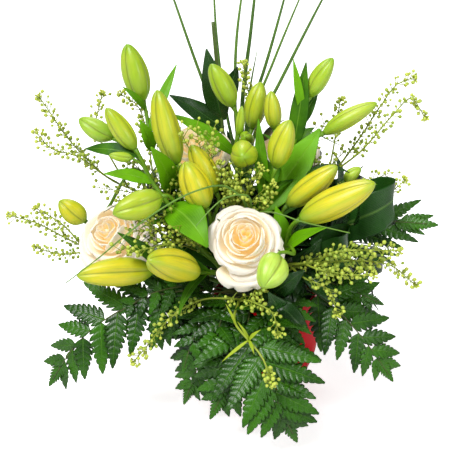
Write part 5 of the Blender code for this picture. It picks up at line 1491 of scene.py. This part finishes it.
shortFronds = {  # fronds that close the collar round the pot, in the same terms
    "short_frond_1": {
        "route": [(280, 290, -74), (288, 312, -112), (290, 332, -130)],
        "tip": (290, 352, -134), "pairs": 5, "longest": 40, "faces": (0.1, -0.9, 0.42),
    },
    "short_frond_2": {
        "route": [(232, 298, -84), (222, 318, -118), (216, 338, -136)],
        "tip": (210, 362, -140), "pairs": 5, "longest": 46, "faces": (-0.15, -0.9, 0.42),
    },
    "short_frond_10": {
        "route": [(222, 292, -80), (204, 318, -112), (192, 342, -128)],
        "tip": (184, 368, -134), "pairs": 5, "longest": 42, "faces": (-0.2, -0.88, 0.42),
    },
    "short_frond_11": {
        "route": [(205, 286, -60), (172, 288, -86), (146, 296, -100)],
        "tip": (120, 312, -106), "pairs": 5, "longest": 40, "faces": (-0.15, -0.85, 0.5),
    },
    "short_frond_12": {
        "route": [(252, 292, -72), (247, 306, -100), (240, 322, -118)],
        "tip": (230, 340, -124), "pairs": 5, "longest": 42, "faces": (-0.05, -0.9, 0.42),
    },
    "short_frond_3": {
        "route": [(262, 298, -86), (268, 322, -128), (272, 346, -146)],
        "tip": (276, 372, -152), "pairs": 5, "longest": 48, "faces": (0.0, -0.9, 0.42),
    },
    "short_frond_4": {
        "route": [(214, 292, -66), (186, 302, -88), (168, 318, -98)],
        "tip": (152, 342, -100), "pairs": 5, "longest": 44, "faces": (-0.2, -0.85, 0.5),
    },
    "short_frond_5": {
        "route": [(308, 280, -50), (334, 284, -72), (356, 292, -82)],
        "tip": (378, 302, -86), "pairs": 5, "longest": 44, "faces": (0.2, -0.85, 0.5),
    },
    "short_frond_6": {
        "route": [(205, 268, 10), (175, 276, 20), (150, 296, 26)],
        "tip": (128, 322, 28), "pairs": 5, "longest": 50, "faces": (-0.85, -0.1, 0.5),
    },
    "short_frond_7": {
        "route": [(322, 268, 10), (346, 274, 20), (362, 288, 26)],
        "tip": (376, 306, 28), "pairs": 5, "longest": 38, "faces": (0.85, -0.1, 0.5),
    },
    "short_frond_8": {
        "route": [(240, 268, 95), (226, 268, 140), (214, 290, 158)],
        "tip": (206, 322, 162), "pairs": 5, "longest": 52, "faces": (-0.1, 0.9, 0.42),
    },
    "short_frond_9": {
        "route": [(286, 268, 95), (298, 268, 140), (308, 290, 158)],
        "tip": (316, 322, 162), "pairs": 5, "longest": 52, "faces": (0.1, 0.9, 0.42),
    },
}
everyTree = othersTree("floral_foam")
for name, frond in shortFronds.items():
    path = frondPath(frond, (spot(frond["route"][0]) - foam["focus"]).normalized())
    putPiece(name, frondParts(frond, path, everyTree), [looks["fern"], looks["fernRib"]], "fern_leaf")

print("inner foliage")
innerForm = {
    "low": {
        "stems": 26, "leaves": 7, "rise": (10, 72), "reach": (0.085, 0.135),
        "length": (0.040, 0.062), "width": (0.017, 0.027),
    },
    "tall": {
        "stems": 22, "leaves": 7, "rise": (34, 76), "reach": (0.140, 0.190),
        "length": (0.040, 0.060), "width": (0.013, 0.020),
    },
    "lowest": 0.075,
    "start": 0.030,  # from the middle of the foam
    "points": 24,    # along each stem, the first without a leaf up to this one
    "bareTo": 8,
    "tries": 5,      # for each leaf
    "pieces": 3,     # of each kind
}


# Short stems lean out of the foam on a golden spiral, from level to steep, each with leaves in turn round it
def innerStem(k, form):
    share = (k + 0.5) / form["stems"]
    rise = math.radians(form["rise"][0] + (form["rise"][1] - form["rise"][0]) * share)
    around = goldenTurn * k
    way = np.array([math.cos(around) * math.cos(rise), math.sin(around) * math.cos(rise), math.sin(rise)])
    focus = np.array(foam["focus"])
    reach = chance.uniform(*form["reach"])
    t, start = np.linspace(0.0, 1.0, innerForm["points"])[:, None], innerForm["start"]
    line = focus + way * (start + (reach - start) * t)
    line = line + np.array([0.0, 0.0, 0.02]) * (1 - share) * np.sin(np.pi * t)   # the low ones rise and fall
    parts = [skins(tubeRings(line, 0.0014 - 0.0006 * t[:, 0], 8), look=1)]
    directions, side, across = pathFrame(line)
    leafy = innerForm["points"] - 1 - innerForm["bareTo"]
    for j in range(form["leaves"]):
        i = int(innerForm["bareTo"] + leafy * (j + 1) / form["leaves"])
        for tries in range(innerForm["tries"]):
            level = crossWay(side[i], across[i], goldenTurn * j + 0.9 * tries)
            tip = line[i] + (
                unit(directions[i] * chance.uniform(0.3, 1.0) + level) * chance.uniform(*form["length"]))
            if tip[2] < innerForm["lowest"]:
                continue
            facing = unit(directions[i] * 0.8 - level * 0.3 + np.array([0.0, 0.0, 0.5]))
            rings = leafRings(
                line[i], tip, chance.uniform(*form["width"]), 0.005, facing, j, 0.10, 15, plainAngles)
            if not coversOpen(rings) and not sheetTree(rings[2:]).overlap(everyTree):
                parts.append(skins(rings, chance.uniform(-0.1, 0.5), 0, plainU))
                break
    return parts


# The inner leaves take the dark leaf colour, as painted shade deep in the arrangement
for name in ("low", "tall"):
    form, pieces = innerForm[name], innerForm["pieces"]
    for first in range(pieces):
        parts = [part for k in range(first, form["stems"], pieces) for part in innerStem(k, form)]
        putPiece(
            name + "_leaves_" + str(first + 1), parts, [looks["darkLeafAndShade"], looks["darkStem"]], "ruscus_leaf")

print("pod sprays")
podForm = {
    "closer": 5.2,       # pods here for each pod of the CAD's, on each of two sides
    "stalk": (0.004, 0.011),
    "stalkRadii": np.array([0.0005, 0.0004, 0.0004]),
    "size": (0.0031, 0.0050),
    "pitch": 0.75,
    "room": 0.0008,      # to the other pieces
    "atTip": 9,          # small pods round the tip of a branch
    "tipStalk": (0.003, 0.006),
    "tipSize": (0.0022, 0.0032),
    "points": 80,        # along a branch
    "shade": (-0.1, 0.4),  # on top of 0.7 at its tip
}
podAngles = np.linspace(0.0, 2 * np.pi, 7, endpoint=False)


# A pod: round, radius = r sin(pi s)^0.75 along its axis, a little longer than thick, on a thin stalk
def podRings(centre, out, size):
    side = unit(np.cross(out, np.array([0.31, 0.52, 0.79])))
    across = np.cross(out, side)
    s = np.array([0.04, 0.26, 0.5, 0.74, 0.96])
    radius = size / 2 * np.sin(np.pi * s) ** 0.75
    ring = side * np.cos(podAngles)[:, None] + across * np.sin(podAngles)[:, None]
    return centre + out * ((s - 0.5) * size * 1.12)[:, None, None] + ring[None] * radius[:, None, None]


# One pod on its thin stalk joins the bunch, unless it would come too near the other pieces or hide an open
# place. Its shade is a first part and a random part
def hangPod(bunch, here, out, length, size, shade, others, keepsOpen=False):
    centre = here + out * length
    rings = podRings(centre, out, size)
    hides = keepsOpen and coversOpen(rings)
    if not hides and others.find_nearest(Vector(centre), size / 2 + podForm["room"])[0] is None:
        stalk = np.stack([here, here + out * length * 0.5, centre])
        bunch["pods"].append(rings)
        bunch["shades"].append(shade[0] + chance.uniform(*shade[1]))
        bunch["stalks"].append(tubeRings(stalk, podForm["stalkRadii"], 4))


def bunchParts(bunch):
    return [skins(np.stack(bunch["pods"]), bunch["shades"], 0), skins(np.stack(bunch["stalks"]), 0.5, 1)]


# A spray: its rods, and pods on a golden turn along each branch and round its tip, yellower toward the tip
def sprayParts(spray, rods, others):
    parts, bunch = [], {"pods": [], "shades": [], "stalks": []}
    for k, (path, first, last) in enumerate(rods):
        thicker = spray.get("thicker", {}).get(k, 1.15)
        parts.append(skins(rodRings(path, first * thicker, last * thicker, step=0.008, sides=8), look=1))
    for (path, _, _), (_, _, begin, wanted) in zip(rods[1:], spray["branches"]):
        line = finePath(path, podForm["points"])
        way, side, across = pathFrame(line)
        count, lastPoint = int(wanted * podForm["closer"]), podForm["points"] - 1
        for k in range(count):
            i = int(lastPoint * (begin + (1 - begin) * (k + 0.5) / count))
            for turn in range(2):
                angle = goldenTurn * (k * 2 + turn) + chance.uniform(-0.4, 0.4)
                out = unit(way[i] * podForm["pitch"] + crossWay(side[i], across[i], angle))
                length, size = chance.uniform(*podForm["stalk"]), chance.uniform(*podForm["size"])
                hangPod(bunch, line[i], out, length, size, (0.7 * (i / lastPoint), podForm["shade"]), others)
        for k in range(podForm["atTip"]):
            angle = goldenTurn * k
            out = way[-1] * (2.2 - 0.25 * k) + side[-1] * math.cos(angle) + across[-1] * math.sin(angle)
            length, size = chance.uniform(*podForm["tipStalk"]), chance.uniform(*podForm["tipSize"])
            hangPod(bunch, line[-1], unit(out), length, size, (0.7 * 1.1, podForm["shade"]), others)
    parts.extend(bunchParts(bunch))
    for root, tip, width in spray.get("leaves", []):
        rings = leafRings(
            spot(root), spot(tip), width, 0.002, -lookWay + Vector((0.0, 0.0, 0.5)), tip[0], 0.05)
        parts.append(skins(rings, 0.7, 2, bladeU))
    return parts


for name, spray in podSprays.items():
    parts = sprayParts(spray, sprayRods(spray, stemWays[name]), othersTree(name))
    putPiece(name + "_round", parts, [looks["pod"], looks["twig"], looks["youngLeaf"]], "pod_green", name)

# Small sprays that fill the gaps between the stems: where each branch starts and ends
fillSprays = {
    "fill_spray_1": [
        ((196, 240, -40), (150, 168, -40)), ((188, 228, -40), (128, 168, -30)),
        ((192, 234, -44), (168, 150, -60)), ((180, 215, -35), (140, 128, -5)),
        ((180, 215, -35), (158, 112, 0)), ((200, 245, -20), (120, 200, -10)),
        ((190, 232, -42), (140, 188, -30)), ((186, 226, -42), (114, 150, -20)),
        ((192, 236, -46), (160, 186, -66)), ((180, 222, -36), (100, 188, -16)),
    ],
    "fill_spray_2": [
        ((215, 245, -60), (130, 232, -112)), ((210, 248, -60), (146, 214, -108)),
        ((205, 250, -60), (165, 244, -118)), ((200, 252, -60), (120, 250, -96)),
        ((212, 246, -60), (176, 226, -120)),
    ],
    "fill_spray_3": [
        ((232, 232, -50), (216, 168, -66)), ((234, 232, -50), (228, 160, -62)),
        ((236, 232, -50), (242, 168, -66)), ((238, 232, -50), (254, 174, -70)),
        ((240, 232, -50), (266, 188, -76)), ((232, 232, -50), (222, 186, -84)),
        ((236, 232, -50), (240, 190, -88)), ((240, 232, -50), (256, 200, -92)),
        ((236, 232, -50), (232, 176, -76)), ((238, 232, -50), (250, 186, -84)),
    ],
    "fill_spray_4": [
        ((292, 225, 0), (318, 158, 10)), ((296, 222, 0), (346, 150, 8)), ((296, 226, 0), (360, 186, 4)),
        ((290, 222, 10), (326, 120, 16)), ((300, 230, -10), (392, 172, -6)),
    ],
    "fill_spray_5": [
        ((290, 270, -80), (340, 278, -124)), ((296, 266, -80), (372, 266, -120)),
        ((262, 290, -100), (230, 300, -130)), ((262, 290, -100), (250, 306, -142)),
    ],
    "fill_spray_6": [
        ((208, 205, -34), (196, 128, -56)), ((208, 205, -34), (180, 132, -64)),
        ((209, 205, -34), (209, 140, -74)), ((209, 205, -34), (214, 128, -40)),
    ],
}
fillForm = {
    "pods": 40,              # tried on each branch
    "begin": 0.48,           # the share of the branch without pods
    "rise": 0.012,           # of the branch's middle
    "stalk": (0.004, 0.014),
    "shade": (0.2, 1.0),
    "points": 60,
}
allTree = othersTree()
for name, branches in fillSprays.items():
    parts, bunch = [], {"pods": [], "shades": [], "stalks": []}
    for start, end in branches:
        start, end, points = spot(start), spot(end), fillForm["points"]
        middle = start.lerp(end, 0.5) + Vector((0.0, 0.0, fillForm["rise"]))
        line = finePath([foam["focus"] + (start - foam["focus"]) * 0.5, start, middle, end], points)
        way, side, across = pathFrame(line)
        parts.append(skins(tubeRings(line, np.linspace(stemSize["twig"], 0.0004, points), 6), look=1))
        for k in range(fillForm["pods"]):
            share = fillForm["begin"] + (1 - fillForm["begin"]) * k / (fillForm["pods"] - 1)
            i = int((points - 1) * share)
            angle = goldenTurn * k + chance.uniform(-0.3, 0.3)
            out = unit(way[i] * 0.8 + side[i] * math.cos(angle) + across[i] * math.sin(angle))
            size, length = chance.uniform(*podForm["size"]), chance.uniform(*fillForm["stalk"])
            hangPod(bunch, line[i], out, length, size, (0.0, fillForm["shade"]), allTree, True)
    putPiece(name, parts + bunchParts(bunch), [looks["pod"], looks["twig"]], "pod_green")

print("grass, ruscus and aspidistra")


# A ribbon along a path: centre + side spread q, its halves folded up by |q| and its faces a thin lens apart
def ribbonRings(path, spread, facing, fold, thick, wave=0.0):
    way = unit(np.gradient(path, axis=0))
    facing = np.broadcast_to(np.asarray(facing, dtype=float), path.shape)
    side = unit(facing - way * np.einsum("ij,ij->i", way, facing)[:, None])
    normal = np.cross(way, side)
    q, z = np.cos(bladeAngles)[None], np.sin(bladeAngles)[None]
    spread = np.asarray(spread)[:, None]
    t = np.linspace(0.0, 1.0, len(path))[:, None]
    rise = fold * spread * (np.sqrt(q ** 2 + 0.02) - 0.14) + z * thick / 2
    rise = rise + wave * spread * q ** 2 * np.sin(2 * np.pi * 2 * t + np.sign(q))
    return path[:, None] + side[:, None] * (spread * q)[..., None] + normal[:, None] * rise[..., None]


for name, bunch in grassBunches.items():
    main = rootedPath(stemWays[name], [spot(p) for p in bunch["route"]])
    parts = [skins(rodRings(main, stemSize["grass"], 0.0022, sides=12), look=1)]
    root = main[-2].lerp(main[-1], 0.6)
    endWay = (main[-1] - main[-2]).normalized()
    for k, (route, width) in enumerate(bunch["blades"]):
        path = finePath(smoothPath([root] + [spot(p) for p in route], endWay, None, bunch["steps"]), 48)
        t = np.linspace(0.0, 1.0, 48)
        half = realWidth(width, root) / 2
        spread = half * bunch["wider"] * (1 - t ** 2.5) ** 0.9 + 0.0003
        facing = np.array([
            bunch["faces"][0], bunch["faces"][1] + bunch["sway"] * math.sin(k), bunch["faces"][2]])
        shade = chance.uniform(0.0, 0.6) + bunch["paler"]
        parts.append(skins(ribbonRings(path, spread, facing, 0.5, 0.0012), shade, 0, bladeU))
    putPiece(name + "_blades", parts, [looks["grass"], looks["darkStem"]], "grass_blade", name)

line = rootedPath(stemWays["ruscus_stem"], [spot(p) for p in ruscusRoute])
parts = [skins(rodRings(line, stemSize["ruscus"], stemSize["ruscusTop"], sides=14), look=1)]
for k, (rootPixel, tip, width, bow, faces) in enumerate(ruscusLeaves):
    root = nearestOn([line[2:]], rootPixel)[0]
    tip = spot(tip)
    rings = leafRings(root, tip, realWidth(width, tip), bow * 0.001, Vector(faces).normalized(), k, 0.03)
    parts.append(skins(rings, chance.uniform(0.0, 0.4), 0, bladeU))
putPiece("ruscus_stem_leafy", parts, [looks["darkLeafAndShade"], looks["darkStem"]], "ruscus_leaf", "ruscus_stem")

for name, entry in aspidistraLeaves.items():
    stalk = rootedPath(stemWays[name], [spot(p) for p in entry["stalk"]] + [spot(entry["blade"][0])])
    blade = smoothPath([stalk[-2]] + [spot(p) for p in entry["blade"]], None, None, 1)
    path = finePath(blade, 60)
    t = np.linspace(0.0, 1.0, 60)
    width = realWidth(entry["width"], blade[3])
    spread = width / 2 * np.maximum(0.12, np.sin(np.pi * (0.06 + 0.90 * t)) ** 0.6)
    rings = ribbonRings(path, spread, (0.0, 0.0, 1.0), 0.10, 0.0008, 0.03)
    parts = [skins(rodRings(stalk, stemSize["aspidistra"], stemSize["aspidistraTop"]), look=1),
             skins(rings, 0.3, 0, bladeU)]
    putPiece(name + "_glossy", parts, [looks["aspidistra"], looks["darkStem"]], "aspidistra_leaf", name)

print("floor, light and camera")
stage = {
    "floorSize": 40.0,
    "floorTop": -0.0002,
    "floorColour": (0.88, 0.88, 0.88),
    "floorGlow": 0.72,     # what the camera sees on top, so that the paper stays white far from the lamps
    "world": (1.0, 1.0, 1.0, 1.0),
    "worldStrength": 0.20,
    "middle": Vector((0.0, 0.0, 0.25)),   # what the lamps face
    "key": {"from": (-0.55, -0.75, 1.25), "strength": 3.3, "spread": math.radians(30)},
    "lamps": [  # place, energy, size
        ((0.9, -1.1, 0.9), 7.0, 0.5),
        ((-0.2, 1.0, 1.5), 9.0, 0.6),
    ],
}


def floorLook():  # pale paper, a little uneven
    made, tree, shader = newLook("paleFloor", 0.6, {"Specular IOR Level": 0.2})
    paper = stage["floorColour"]
    colour = mixColours(tree, noise(tree, objectPlace(tree), 3.0), paper, [part * 1.02 for part in paper])
    tree.links.new(colour, shader.inputs["Base Color"])
    shader.inputs["Emission Color"].default_value = (1.0, 1.0, 1.0, 1.0)
    toCamera = addNode(tree, "ShaderNodeLightPath").outputs["Is Camera Ray"]
    tree.links.new(times(tree, toCamera, stage["floorGlow"]), shader.inputs["Emission Strength"])
    return made


def faceFrom(made, place, target):  # puts a lamp or the camera at a place, looking at the target
    made.location = place
    made.rotation_euler = (target - Vector(place)).to_track_quat("-Z", "Y").to_euler()


half = stage["floorSize"] / 2
floorMesh = bpy.data.meshes.new("floor")
corners = [(-half, -half, stage["floorTop"]), (half, -half, stage["floorTop"]),
           (half, half, stage["floorTop"]), (-half, half, stage["floorTop"])]
floorMesh.from_pydata(corners, [], [(0, 1, 2, 3)])
floorMesh.materials.append(floorLook())
floor = addObject("floor", floorMesh)

world = bpy.data.worlds.new("softWhite")
bpy.context.scene.world = world
world.use_nodes = True
worldTree, sky = world.node_tree, world.node_tree.nodes["Background"]
sky.inputs["Color"].default_value = stage["world"]
toCamera = addNode(worldTree, "ShaderNodeLightPath").outputs["Is Camera Ray"]  # the horizon stays white
strength = plus(worldTree, times(worldTree, toCamera, 1.0 - stage["worldStrength"]), stage["worldStrength"])
worldTree.links.new(strength, sky.inputs["Strength"])

for i, (place, energy, size) in enumerate(stage["lamps"]):
    data = bpy.data.lights.new("softbox" + str(i + 1), "AREA")
    data.energy, data.size = energy, size
    faceFrom(addObject("softbox" + str(i + 1), data), place, stage["middle"])

sun = bpy.data.lights.new("key", "SUN")
sun.energy, sun.angle = stage["key"]["strength"], stage["key"]["spread"]
faceFrom(addObject("key", sun), stage["key"]["from"], Vector((0.0, 0.0, 0.0)))

camera = bpy.data.cameras.new("camera")
camera.sensor_fit, camera.sensor_width = "AUTO", 36.0
camera.lens = 36.0 * view["distance"] / (view["imageSize"] * view["pixel"])
camera.clip_end = 30.0
cameraObject = addObject("camera", camera)
cameraObject.location = eye
cameraObject.rotation_euler = lookWay.to_track_quat("-Z", "Y").to_euler()
bpy.context.scene.camera = cameraObject
bpy.context.scene.view_settings.view_transform = "Standard"
